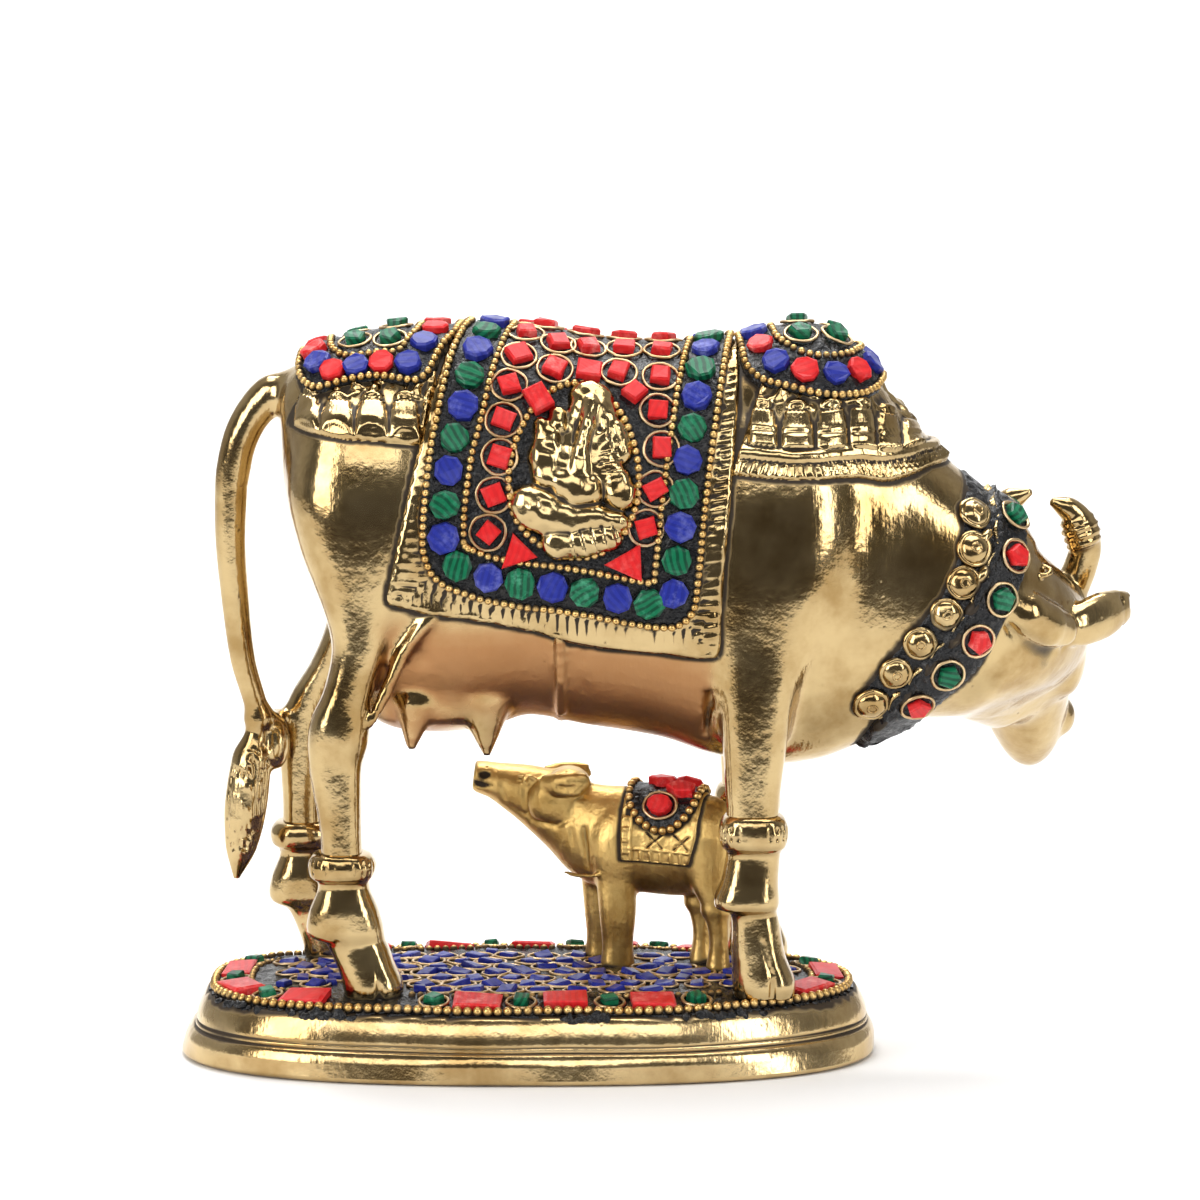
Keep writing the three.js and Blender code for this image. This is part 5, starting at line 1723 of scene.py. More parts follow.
@dataclass
class Mosaic:
    """A mosaic panel: its solid, its skin, its loops and what is set in it."""

    node: str
    skin: Surface
    trees: OrnamentTrees
    paints: Paints
    made: list = field(default_factory=list)

    def add(self, name: str, kind: Ornament, places: Places, radius: float, material: bpy.types.Material,
            slot: str, **more: object) -> None:
        """Sets ornaments of one material.

        Args:
            name: name of the piece in the mosaic.
            kind: kind of ornament.
            places: where the ornaments stand.
            radius: size of an ornament.
            material: material of the piece.
            slot: not used.
            **more: what else set_out is told.
        """
        piece = self.trees.set_out(f"{self.node}_{name}", kind, places, radius, material=material, **more)
        clean([piece], self.node, material)
        self.made.append(piece)

    def stones(self, name: str, colour: StoneFinish, places: Places, radius: float, sides: int, seed: int,
               thickness: float = 1.9, uneven: float = 0.9) -> None:
        """Sets chips of one stone.

        Args:
            name: name of the piece in the mosaic.
            colour: finish of the stones.
            places: where the ornaments stand.
            radius: size of a stone.
            sides: corners of a stone.
            seed: start of the noise.
            thickness: thickness of a stone.
            uneven: how far corners stray.
        """
        materials = {RED: self.paints.red, BLUE: self.paints.blue, GREEN: self.paints.green}
        self.add(name, Ornament.CHIP, places, radius, materials[colour], colour.name, sides=sides, seed=seed,
                 thickness=thickness, uneven=uneven)

    def beads(self, name: str, spots: Array, height: float, radius: float = BEAD_RADIUS) -> None:
        """Sets a row of beads.

        Args:
            name: name of the new piece.
            spots: places as ways along and across.
            height: height above the bed.
            radius: size of a bead.
        """
        places = self.skin.places(spots, height)
        places.size = np.random.default_rng(len(spots)).uniform(0.93, 1.05, len(spots))
        self.add(name, Ornament.BEAD, places, radius, self.paints.bead, "bead_brass", uneven=0.12)

    def rings(self, name: str, places: Places, radius: float = RING_RADIUS, wire: float = WIRE) -> None:
        """Sets wire rings."""
        self.add(name, Ornament.RING, places, radius, self.paints.wire, "bead_brass", thickness=wire,
                 uneven=0.5)

    def bed(self, name: str, made: tuple) -> None:
        """Adds the black resin.

        Args:
            name: name of the bed.
            made: points, faces and values of the sheet.
        """
        piece = sheet_object(f"{self.node}_{name}", made)
        clean([piece], self.node, self.paints.resin)
        self.made.append(piece)


def turned(places: Places, angles: Array) -> Places:
    """The same places with the row direction turned about the outward one.

    Args:
        places: where the ornaments stand.
        angles: turn of each about its own axis.

    Returns:
        The places.
    """
    across = np.cross(places.out, places.along)
    c, s = np.cos(angles)[:, None], np.sin(angles)[:, None]
    return Places(places.at, places.out, places.along * c + across * s, places.size)


def drawn_sizes(random: np.random.Generator, count: int, *ranges: tuple) -> Array:
    """Sizes drawn along and across from their ranges, with heights as they are."""
    return np.stack([random.uniform(low, high, count) for low, high in ranges] + [np.ones(count)], -1)


def mirrored_spots(spots: Sequence) -> Array:
    """Spots on both sides; one on the top line stays single.

    Args:
        spots: places of the near side.

    Returns:
        Places of both sides.
    """
    spots = np.array(spots, float)
    far = spots[spots[:, 1] < -0.5] * (1, -1)
    return np.concatenate([spots, far])


@dataclass
class Blanket:
    """Cast blanket over the back with its mosaic and a medallion on each side."""

    skin: Surface
    trees: OrnamentTrees
    paints: Paints
    centre: tuple = (11, 41.2)
    half: tuple = (14.2, 19.2)

    def oval(self, side: int, grow: float = 0) -> Loop:
        """Outline of a medallion, narrower at its top.

        Args:
            side: near or far side.
            grow: how much larger it is.

        Returns:
            The outline of the oval.
        """
        t = np.linspace(0, 2 * np.pi, 90, endpoint=False)
        wide = (self.half[0] + grow) * np.cos(t) * (1 - 0.15 * np.sin(t)) + 1.6 * np.sin(t)
        tall = (self.half[1] + grow) * np.sin(t)
        return Loop(np.stack([self.centre[0] + wide, side * (self.centre[1] - tall)], axis=-1))

    def build(self) -> None:
        """Builds slab, bed, stones and medallions."""
        edge = soft_loop(BLANKET_EDGE, 4)
        border = soft_loop(BLANKET_BEADS)
        inner = border.inset(9.6)
        ovals = [self.oval(NEAR), self.oval(FAR)]

        def slab(spots: Array) -> Array:
            """Height of the cast blanket with ticks along its hem.

            Args:
                spots: places as ways along and across.

            Returns:
                Height of the sheet at each place.
            """
            distance, around = edge.measured(spots)
            from_beads, _ = border.measured(spots)
            height = SUNK + (SLAB - SUNK) * smoothstep(0.35, -0.5, distance)
            hem = smoothstep(-0.6, -1.3, distance) * smoothstep(1.1, 1.9, from_beads)
            fade = smoothstep(-0.4, 0.5, rough(spots, 5, 9.0))
            tick = smoothstep(0.2, 0.8, np.cos(around * 2 * np.pi / 2.15 + rough(spots, 8, 5.0)))
            return (height - 0.75 * hem * tick * (0.35 + 0.65 * fade)
                    + 0.12 * rough(spots, 3, 2.2) * smoothstep(0, -1, distance))

        def resin(spots: Array) -> Array:
            """Height of the black bed.

            Args:
                spots: places as ways along and across.

            Returns:
                Height of the resin at each place.
            """
            distance, _ = border.measured(spots)
            oval = np.minimum(*(loop.measured(spots)[0] for loop in ovals))
            height = BED + 0.18 * rough(spots, 11, 0.9) - 0.5 * smoothstep(0.2, -1, oval)
            return np.where(distance < 0.9, height * smoothstep(0.9, 0.1, distance), SUNK)

        low, high = edge.points.min(0) - 1.5, edge.points.max(0) + 1.5
        piece = sheet_object("blanket_slab", sheet(self.skin, low, high, 0.72, slab))
        clean([piece], "cow", self.paints.cow)
        mosaic = Mosaic("blanket_mosaic", self.skin, self.trees, self.paints)
        low, high = border.points.min(0) - 1.5, border.points.max(0) + 1.5
        mosaic.bed("bed", sheet(self.skin, low, high, 0.85, resin, 0.8))
        beads = np.concatenate([border.even(BEAD_PITCH)[0], inner.even(BEAD_PITCH)[0]])
        mosaic.beads("beads", beads, BED + 0.35)
        ring = np.concatenate([oval.even(BEAD_PITCH)[0] for oval in ovals])
        mosaic.beads("medallion_beads", ring, BED + 0.35)
        darken_near_contacts([piece], mosaic.made[:1])
        self.tiles(mosaic, border)
        self.field(mosaic)
        for side in (NEAR, FAR):
            self.figure(side)

    def tiles(self, mosaic: Mosaic, border: Loop) -> None:
        """Border of round tiles, blue and green in turn.

        Args:
            mosaic: mosaic that gets the pieces.
            border: outline of the row.
        """
        spots, ways = border.inset(5.1).even(7.2, 2.0)
        spots, ways = spots[: len(spots) // 2 * 2], ways[: len(ways) // 2 * 2]
        places = self.skin.places(spots, BED + 0.35, turns=ways)
        random = np.random.default_rng(4)
        places = turned(places, random.uniform(0, 3, len(spots)))
        places.size = random.uniform(0.95, 1.04, len(spots))
        which = np.arange(len(spots)) % 2
        mosaic.stones("tiles_blue", BLUE, places.picked(which == 0), TILE_RADIUS, 8, 21, uneven=1.1)
        mosaic.stones("tiles_green", GREEN, places.picked(which == 1), TILE_RADIUS, 8, 22, uneven=1.1)

    def field(self, mosaic: Mosaic) -> None:
        """Field of red chips in wire rings.

        Args:
            mosaic: mosaic that gets the pieces.
        """
        spots = mirrored_spots(RING_SPOTS)
        spots = np.concatenate([spots, [(4, 0), (13, 0), (22, 0), (31, 0)]])
        places = self.skin.places(spots, BED + 0.25)
        mosaic.rings("rings", places)
        random = np.random.default_rng(7)
        chips = turned(places.raised(0.35), random.uniform(-0.6, 0.6, len(spots)))
        chips.size = drawn_sizes(random, len(spots), (0.85, 1.12), (0.85, 1.05))
        mosaic.stones("chips", RED, chips, 3.15, 4, 31, uneven=1.2)
        loose = self.skin.places(mirrored_spots(((13.8, -18.4), (2.8, -27.4), (24.2, -22.6))), BED + 0.6)
        loose = turned(loose, np.array([0, -0.93, 0.88, 0, 0.93, -0.88]))
        loose.size = np.array([(1.1, 1, 1), (1.25, 1.0, 1.1), (0.85, 0.85, 1)] * 2)
        mosaic.stones("chips_loose", RED, loose, 3.5, 4, 32, uneven=0.8)
        corners = self.skin.places(mirrored_spots(((-1.6, -61), (23, -60))), BED + 0.5)
        corners = turned(corners, np.array([0.85, 0.15, 0.25, 0.95]))
        corners.size = np.array([(1.15, 1.0, 1), (1.25, 1.1, 1)] * 2)
        mosaic.stones("chips_corner", RED, corners, 4.3, 3, 33, uneven=0.6)

    def figure(self, side: int) -> None:
        """Seated elephant-headed figure in relief.

        Args:
            side: near or far side.
        """
        cx, cg = self.centre

        def height(spots: Array) -> Array:
            """Height of the relief at rows of along and girth.

            Args:
                spots: places as ways along and across.

            Returns:
                Height of the sheet at each place.
            """
            a, v = spots[..., 0] - cx, cg - np.abs(spots[..., 1])
            total = np.full(a.shape, SUNK)
            for line, radii, top in FIGURE:
                for (x0, y0), (x1, y1), r0, r1 in zip(line, line[1:], 1.16 * np.array(radii),
                                                      1.16 * np.array(radii[1:])):
                    way = np.array([x1 - x0, y1 - y0])
                    t = np.clip(((a - x0) * way[0] + (v - y0) * way[1]) / (way @ way), 0, 1)
                    inside = (1 - ((a - x0 - way[0] * t) ** 2 + (v - y0 - way[1] * t) ** 2)
                              / (r0 + (r1 - r0) * t) ** 2)
                    value = np.where(inside > 0, BED - 1 + (top + 0.6) * np.sqrt(np.maximum(inside, 0)), SUNK)
                    h = np.clip(0.5 + 0.5 * (value - total) / 0.7, 0, 1)
                    total = total + (value - total) * h + 0.7 * h * (1 - h)
            shin = (a - 2) * 0.94 + (v + 15.4) * 0.34
            grooves = (smoothstep(0.72, 0.98, np.cos(shin * 2 * np.pi / 2.5))
                       * smoothstep(3.2, 2.6, np.abs(v + 15.4 - 0.36 * (a - 2))) * smoothstep(-2, 0, a))
            folds = (smoothstep(0.7, 0.98, np.cos((v - 0.3 * a) * 2 * np.pi / 1.9))
                     * smoothstep(3.6, 2.8, np.hypot(a - 8.2, v - 1.8)))
            ear = (smoothstep(0.6, 0.98, np.cos((a + 0.4 * v) * 2 * np.pi / 2.1))
                   * smoothstep(3, 2.4, np.abs(v - 7.4)) * (a > 7.2))
            eye = np.exp(-((a - 5.6) ** 2 + (v - 8.7) ** 2) / 0.5)
            return total - 0.5 * grooves - 0.45 * folds - 0.4 * ear - 0.9 * eye + 0.12 * rough(spots, 41, 1.2)

        low = (cx - 15, min(side * cg - 21, side * cg + 21))
        high = (cx + 15, max(side * cg - 21, side * cg + 21))
        made = sheet(self.skin, low, high, 0.35, height, 0.9)
        clean([sheet_object(f"medallion_{'near' if side == NEAR else 'far'}", made)], "cow",
              self.paints.cow)


@dataclass
class Cap:
    """Mosaic cap on the rump or the hump: beads, round stones and ring stones."""

    node: str
    skin: Surface
    trees: OrnamentTrees
    paints: Paints
    outline: tuple
    inner: tuple
    stones: tuple
    colours: tuple
    rings: tuple
    height: float = 1.9

    def build(self) -> None:
        """Builds the bed and sets the ornaments."""
        border, inner = soft_loop(self.outline, 8), soft_loop(self.inner, 8)

        def resin(spots: Array) -> Array:
            """Height of the black bed.

            Args:
                spots: places as ways along and across.

            Returns:
                Height of the resin at each place.
            """
            distance, _ = border.measured(spots)
            height = self.height * smoothstep(1.3, 0.2, distance) + 0.18 * rough(spots, 13, 0.9)
            return np.where(distance < 1.3, height, SUNK)

        mosaic = Mosaic(self.node, self.skin, self.trees, self.paints)
        low, high = border.points.min(0) - 2.5, border.points.max(0) + 2.5
        mosaic.bed("bed", sheet(self.skin, low, high, 0.7, resin, -0.6))
        beads = np.concatenate([border.even(BEAD_PITCH)[0], inner.even(BEAD_PITCH)[0]])
        mosaic.beads("beads", beads, self.height + 0.35)
        spots = mirrored_spots(self.stones)
        places = self.skin.places(spots, self.height + 0.35)
        random = np.random.default_rng(17)
        places = turned(places, random.uniform(0, 3, len(spots)))
        places.size = random.uniform(0.86, 0.96, len(spots))
        colours = np.array([*self.colours, *self.colours])
        for colour, finish in (("b", BLUE), ("r", RED)):
            mosaic.stones(f"tiles_{finish.name}", finish, places.picked(colours == colour), TILE_RADIUS, 8,
                          51)
        rings = self.skin.places(mirrored_spots(self.rings), self.height + 0.25)
        mosaic.rings("rings", rings, 3.7)
        chips = turned(rings.raised(0.4), random.uniform(0, 3, len(rings.at)))
        mosaic.stones("chips", GREEN, chips, 2.7, 5, 52, uneven=1.2)


@dataclass
class Band:
    """Cast row of tassels below a cap, down to a sharp step."""

    name: str
    skin: Surface
    paints: Paints
    hem: tuple
    cap: tuple
    tassels: tuple
    low: float
    high: float
    trims: bool

    def build(self) -> None:
        """Builds the relief."""
        line = np.array(self.hem, float)
        dense = np.linspace(0, len(line) - 1, 60)
        hem = Loop(glide(np.arange(len(line), dtype=float), line, dense), closed=False)
        reach = np.linalg.norm(np.diff(hem.points, axis=0), axis=1).sum()
        cap, blanket = soft_loop(self.cap, 6), soft_loop(BLANKET_EDGE, 4)

        def height(spots: Array) -> Array:
            """Height of the tassels and trims.

            Args:
                spots: places as ways along and across.

            Returns:
                Height of the sheet at each place.
            """
            near = np.stack([spots[..., 0], -np.abs(spots[..., 1])], axis=-1)
            depth, reached = hem.measured(near)
            drop = near[..., 1] - np.interp(near[..., 0], hem.points[:, 0], hem.points[:, 1])
            free = (smoothstep(-0.2, 0.9, cap.measured(spots)[0])
                    * smoothstep(-0.3, 0.5, blanket.measured(spots)[0]))
            valid = smoothstep(0, 0.5, reached) * smoothstep(reach, reach - 0.5, reached)
            v = (drop - self.low) / (self.high - self.low)
            relief = ((0.55 * rough(spots, 61, 1.7) + 0.2 * rough(spots, 62, 0.8)) * smoothstep(0.96, 1.1, v)
                      + 0.05 * rough(spots, 63, 0.9))
            for place, wide in self.tassels:
                u = (near[..., 0] - place) / wide
                half = 0.5 - 0.13 * smoothstep(0.35, 1, v)
                body = (np.maximum(1 - (np.abs(u) / half) ** 3, 0) ** 0.5 * smoothstep(-0.02, 0.05, v)
                        * smoothstep(1.02, 0.9, v))
                hatch = (0.5 + 0.5 * np.cos(u * wide * 2 * np.pi / 0.85)) * smoothstep(0.46, 0.56, v)
                cup = 0 if self.trims else np.maximum(1 - (u / 0.4) ** 2 - (v / 0.26) ** 2, 0) ** 0.5
                crease = smoothstep(0.08, 0.02, np.abs(v - 0.36)) * self.trims
                knob = np.maximum(1 - (u / 0.33) ** 2 - ((v - 1.13) / 0.17) ** 2, 0) ** 0.5
                nick = np.maximum(1 - (u / 0.2) ** 2 - ((v - 1.08) / 0.05) ** 2, 0)
                relief = np.maximum(relief, 1.6 * body - (0.45 * hatch + 1.1 * cup + 0.4 * crease) * body)
                relief = np.maximum(relief, 1.5 * knob - 0.7 * nick)
            if self.trims:
                depth = depth / np.interp(near[..., 0], (64, 80), (1, 0.66))
                tick = smoothstep(-0.1, 0.6, np.cos(reached * 2 * np.pi / np.where(reached < 22, 2.3, 1.05)))
                relief = (relief + 0.6 * smoothstep(0.3, 0.55, depth) * smoothstep(3.5, 3.1, depth)
                          * (0.15 + 0.85 * tick))
                relief = relief + 1.2 * np.sqrt(np.maximum(1 - ((depth - 5.1) / 1.4) ** 2, 0))
            base = SUNK + smoothstep(-0.1, 0.25, depth) * (1.5 + 0.5 * free)
            height = base + relief * free * valid * smoothstep(0, 0.3, depth) - 0.9 * (1 - valid)
            return np.where(free * valid > 0.02, height, SUNK)

        edge = np.abs(hem.points[:, 1]).max() + 1
        low, high = (hem.points[:, 0].min() - 1, -edge), (hem.points[:, 0].max() + 1, edge)
        piece = sheet_object(self.name, sheet(self.skin, low, high, 0.42, height, -0.9))
        clean([piece], "cow", self.paints.cow)


def calf_axis(x: Array) -> Array:
    """Y of the calf's centre plane at an X."""
    return 15 - 0.27 * (x - 18)


# Marks on each side of the calf, at distances from its centre plane: line, radii, fillet and whether cut.
# Brow, ear, jaw, halter and muzzle strap; then the mouth, and the band on its chest
CALF_MARKS = (
    (((-2.2, 5.5, 60.6), (0.4, 6, 61), (2.6, 5.9, 60)), (0.5, 0.55, 0.4), 0.3, False),
    (((6.6, 9.6, 59.4), (9.4, 9.9, 59), (12.2, 9.2, 59.8)), (0.5, 0.9, 0.4), 0.4, True),
    ([(x, 4.9 + 0.16 * (x + 6), z) for x, z in ((-6, 54.4), (-2.4, 52.6), (2, 50.4), (6.6, 49.8), (10.4, 52),
                                                (13, 55.6))],
     (0.3, 0.5, 0.6, 0.6, 0.5, 0.3), 0.5, True),
    (((-0.4, 5.6, 61.6), (-0.8, 6.2, 58), (-0.4, 6, 54), (0.4, 5.5, 50.6)), (0.5,) * 4, 0.4, True),
    (((-5.8, 5, 61.4), (-6.2, 5.5, 58.6), (-5.6, 5.2, 55.6)), (0.45,) * 3, 0.4, True),
)
CALF_MOUTH = (((-13.8, 3.4, 58.9), (-11, 4.6, 58.2), (-8.4, 5, 58.4)), (0.6, 0.6, 0.3), 0.4, True)
CALF_BAND = (((8.8, 5.2, 38.6), (11, 7.2, 38.4), (14, 8.6, 38.6), (16.2, 9.2, 39)), (0.5,) * 4, 0.5, False)


@dataclass
class Calf:
    """The small standing calf with its saddle."""

    voxel: float = 0.56

    def cast(self) -> Sculpt:
        """The calf's casting.

        Returns:
            The sculpt.
        """
        s = Sculpt((-17, -4, 14), (50, 33, 66), self.voxel)
        s.add(profiled(CALF, 2.1, calf_axis))
        for side in (NEAR, FAR):
            step = CALF_FAR_STEP if side == FAR else 0
            shift = lambda z, step=step: np.full_like(z, step)
            s.add(leg(CALF_FORE_LEG, side, shift, calf_axis), 1.6)
            s.add(leg(CALF_HIND_LEG, side, shift, calf_axis), 1.6)
            ear = [((x, calf_axis(x) + side * -y, z), *size) for (x, y, z), *size in CALF_EAR]
            s.add(limb(ear), 0.8)
            y = lambda x, off: calf_axis(x) + side * off
            s.lump((20.5, y(20.5, 6.2), 45), (5, 3.4, 8), 2)
            s.lump((41, y(41, 5.6), 46), (5.6, 3.2, 7), 2)
            s.lump((6.2, y(6.2, 4.4), 55.2), (6.4, 3.6, 6.2), 0.6)
            s.lump((9.4, y(9.4, 2), 58.8), (5, 5, 3.9), 1)
            s.lump((0.4, y(0.4, 5.2), 59.6), (1.7, 1.1, 1.1), 0.4)
            place = lambda x, off, z, y=y: (x, y(x, off), z)
            s.details(CALF_MARKS, place)
            s.lump((-10.4, y(-10.4, 4.6), 60.8), (1.6, 1.2, 1), 0.4, cut=True)
            s.details((CALF_MOUTH,), place)
            for x, top, low in ((7.4, 48.4, 39.4), (10, 49, 39.2), (13, 49.6, 40)):
                fold = (x, y(x, 7.5), top), (x + 0.5, y(x, 8.0), (top + low) / 2), (x + 1, y(x, 7.2), low)
                s.tube(fold, (0.5, 0.7, 0.5), 0.5, cut=True)
            s.details((CALF_BAND,), place)
            s.lump((43.4 + step, y(43.4, 5.2), 31.4), (3.4, 2.9, 2.2), 1.2)
        return s

    def build(self, trees: OrnamentTrees, paints: Paints) -> None:
        """Builds the casting and its saddle.

        Args:
            trees: node trees of the ornaments.
            paints: materials.
        """
        casting = self.cast()
        clean([casting.object("calf_body", 0.9)], "calf", paints.calf)
        way = (1, -0.27, 0)
        skin = Surface(casting.shell().tree(), (33, 10.95, 46), way, (0, 0, 1), -12, 10, 120, 1.0, 3)
        near = ((-8.8, 0), (-8.6, -4), (-7.6, -8), (-5, -11), (-1.5, -12.8), (2, -12.6), (5, -10.4),
                (7.2, -6), (7.8, 0))
        border = soft_loop(near, 6)
        patch = soft_loop(((-9.6, 0), (-9.8, -9), (-9.4, -20.8), (6.4, -21), (8.4, -14), (9, 0)), 4)

        def cloth(spots: Array) -> Array:
            """Height of the cast saddle cloth with boxes and crosses.

            Args:
                spots: places as ways along and across.

            Returns:
                Height of the cloth at each place.
            """
            distance, _ = patch.measured(spots)
            s, g = spots[..., 0], np.abs(spots[..., 1])
            height = -0.6 + 1.15 * smoothstep(0.2, -0.3, distance)
            boxes = (smoothstep(0.3, 0.7, np.cos(s * 2 * np.pi / 2.4)) * smoothstep(17.6, 18, g)
                     * smoothstep(20.4, 20, g))
            rails = sum(smoothstep(0.4, 0.0, np.abs(way)) for way in (g - 17.3, g - 20.5, s + 7.2))
            ladder = (smoothstep(0.2, 0.8, np.cos(g * 2 * np.pi / 2.6)) * smoothstep(-7.6, -7.8, s)
                      * smoothstep(-9.3, -9, s))
            cross = 0.0
            for middle in (-1.4, 5):
                for lean in (1, -1):
                    near_line = np.abs((s - middle) - lean * (g - 15.2) * 1.1)
                    cross = cross + smoothstep(0.5, 0.15, near_line) * smoothstep(1.9, 1.6, np.abs(g - 15.2))
            return (height + 0.4 * (boxes + rails + ladder) * smoothstep(0, -0.4, distance)
                    - 0.5 * np.minimum(cross, 1) + 0.06 * rough(spots, 71, 1))

        def resin(spots: Array) -> Array:
            """Height of the black bed.

            Args:
                spots: places as ways along and across.

            Returns:
                Height of the resin at each place.
            """
            distance, _ = border.measured(spots)
            return np.where(distance < 0.8, (1.2 + 0.12 * rough(spots, 72, 0.8))
                            * smoothstep(0.8, 0, distance), -0.6)

        piece = sheet_object("calf_cloth", sheet(skin, (-11, -23), (10.5, 23), 0.3, cloth, -0.7))
        clean([piece], "calf", paints.calf)
        mosaic = Mosaic("calf_mosaic", skin, trees, paints)
        mosaic.bed("bed", sheet(skin, (-10.5, -15), (9.5, 15), 0.4, resin, -0.3))
        mosaic.beads("beads", border.even(2.0)[0], 1.5, 0.98)
        spots = mirrored_spots(((-0.6, -7.4),))
        rings = skin.places(spots, 1.5)
        rings.size = np.tile((1.0, 0.85, 1.0), (2, 1))
        mosaic.rings("rings", rings, 3.9, 0.42)
        stones = skin.places(spots, 1.9)
        stones.size = np.tile((1.0, 0.85, 1.1), (2, 1))
        mosaic.stones("oval", RED, stones, 2.9, 10, 81, uneven=0.4)
        top = skin.places(((3.6, -3.2), (-1.6, 0), (3.6, 3.2)), 1.8)
        top.size = np.array([(1.25, 0.8, 1.1)] * 3)
        mosaic.stones("top", RED, top, 2.9, 5, 82)


class Table(Surface):
    """Plinth's top, level in the middle and lower towards its rim, addressed by X and Y."""

    def __init__(self, height: float) -> None:
        """Sets the height."""
        self.height = height

    def at(self, along: Array, girth: Array) -> Array:
        """Points of the plane.

        Args:
            along: way along the surface.
            girth: way around the surface.

        Returns:
            Points of the surface.
        """
        along, girth = np.asarray(along, float), np.asarray(girth, float)
        shares = np.abs(along / DOME[0]) ** PLINTH_SQUARENESS + np.abs(girth / DOME[1]) ** PLINTH_SQUARENESS
        reach = shares ** (1 / PLINTH_SQUARENESS)
        return np.stack([along, girth, self.height - RIM_DROP * smoothstep(0.72, 1.02, reach)], axis=-1)


PLINTH_STEPS = (
    (0, 78.6, 41.6), (0.5, 79.6, 42.6), (1.2, 80, 43), (4.2, 80, 43), (5.8, 79.6, 42.6), (6.7, 79, 42),
    (7.1, 78.3, 41.3), (7.5, 78.5, 41.5), (7.9, 78.6, 41.6), (8.3, 78.1, 41.1), (8.8, 78.3, 41.3),
    (10, 78.1, 41.1), (12.4, 77.2, 40.3), (13.8, 76.3, 39.6), (14.5, 75.6, 38.9), (14.8, 74.6, 37.9),
    (15.6, 69, 32.6), (16.2, 62, 26),
)
RIM_DROP = 1.7
PLINTH_SQUARENESS = 2.5
PLINTH_SIDES = 260
DOME = (74.2, 37.6)
PLINTH_WAVE = 0.014
PLINTH_LOBES = 7
# Where resin ran over the plinth's edge: angle from the head's end, how far it spreads, and lumps
RESIN_RUNS = ((200, 3, 16), (216, 3, 22), (290, 3, 20), (322, 4, 18), (60, 8, 20), (120, 6, 18))


def plinth_outline(length: float, depth: float, z: float, count: int) -> Array:
    """Points round the plinth at a height, in X and Y.

    Args:
        length: half its length.
        depth: half its depth.
        z: height of the outline.
        count: number of its points.

    Returns:
        Points of the outline.
    """
    angle = 2 * np.pi * (np.arange(count) + 0.5) / count
    reach = (np.abs(np.cos(angle) / length) ** PLINTH_SQUARENESS
             + np.abs(np.sin(angle) / depth) ** PLINTH_SQUARENESS)
    reach = reach ** (-1 / PLINTH_SQUARENESS)
    reach = reach * (1 + PLINTH_WAVE * (np.cos(PLINTH_LOBES * angle) - 1) * min(1, z / 8))
    return np.stack([reach * np.cos(angle), reach * np.sin(angle)], axis=-1)


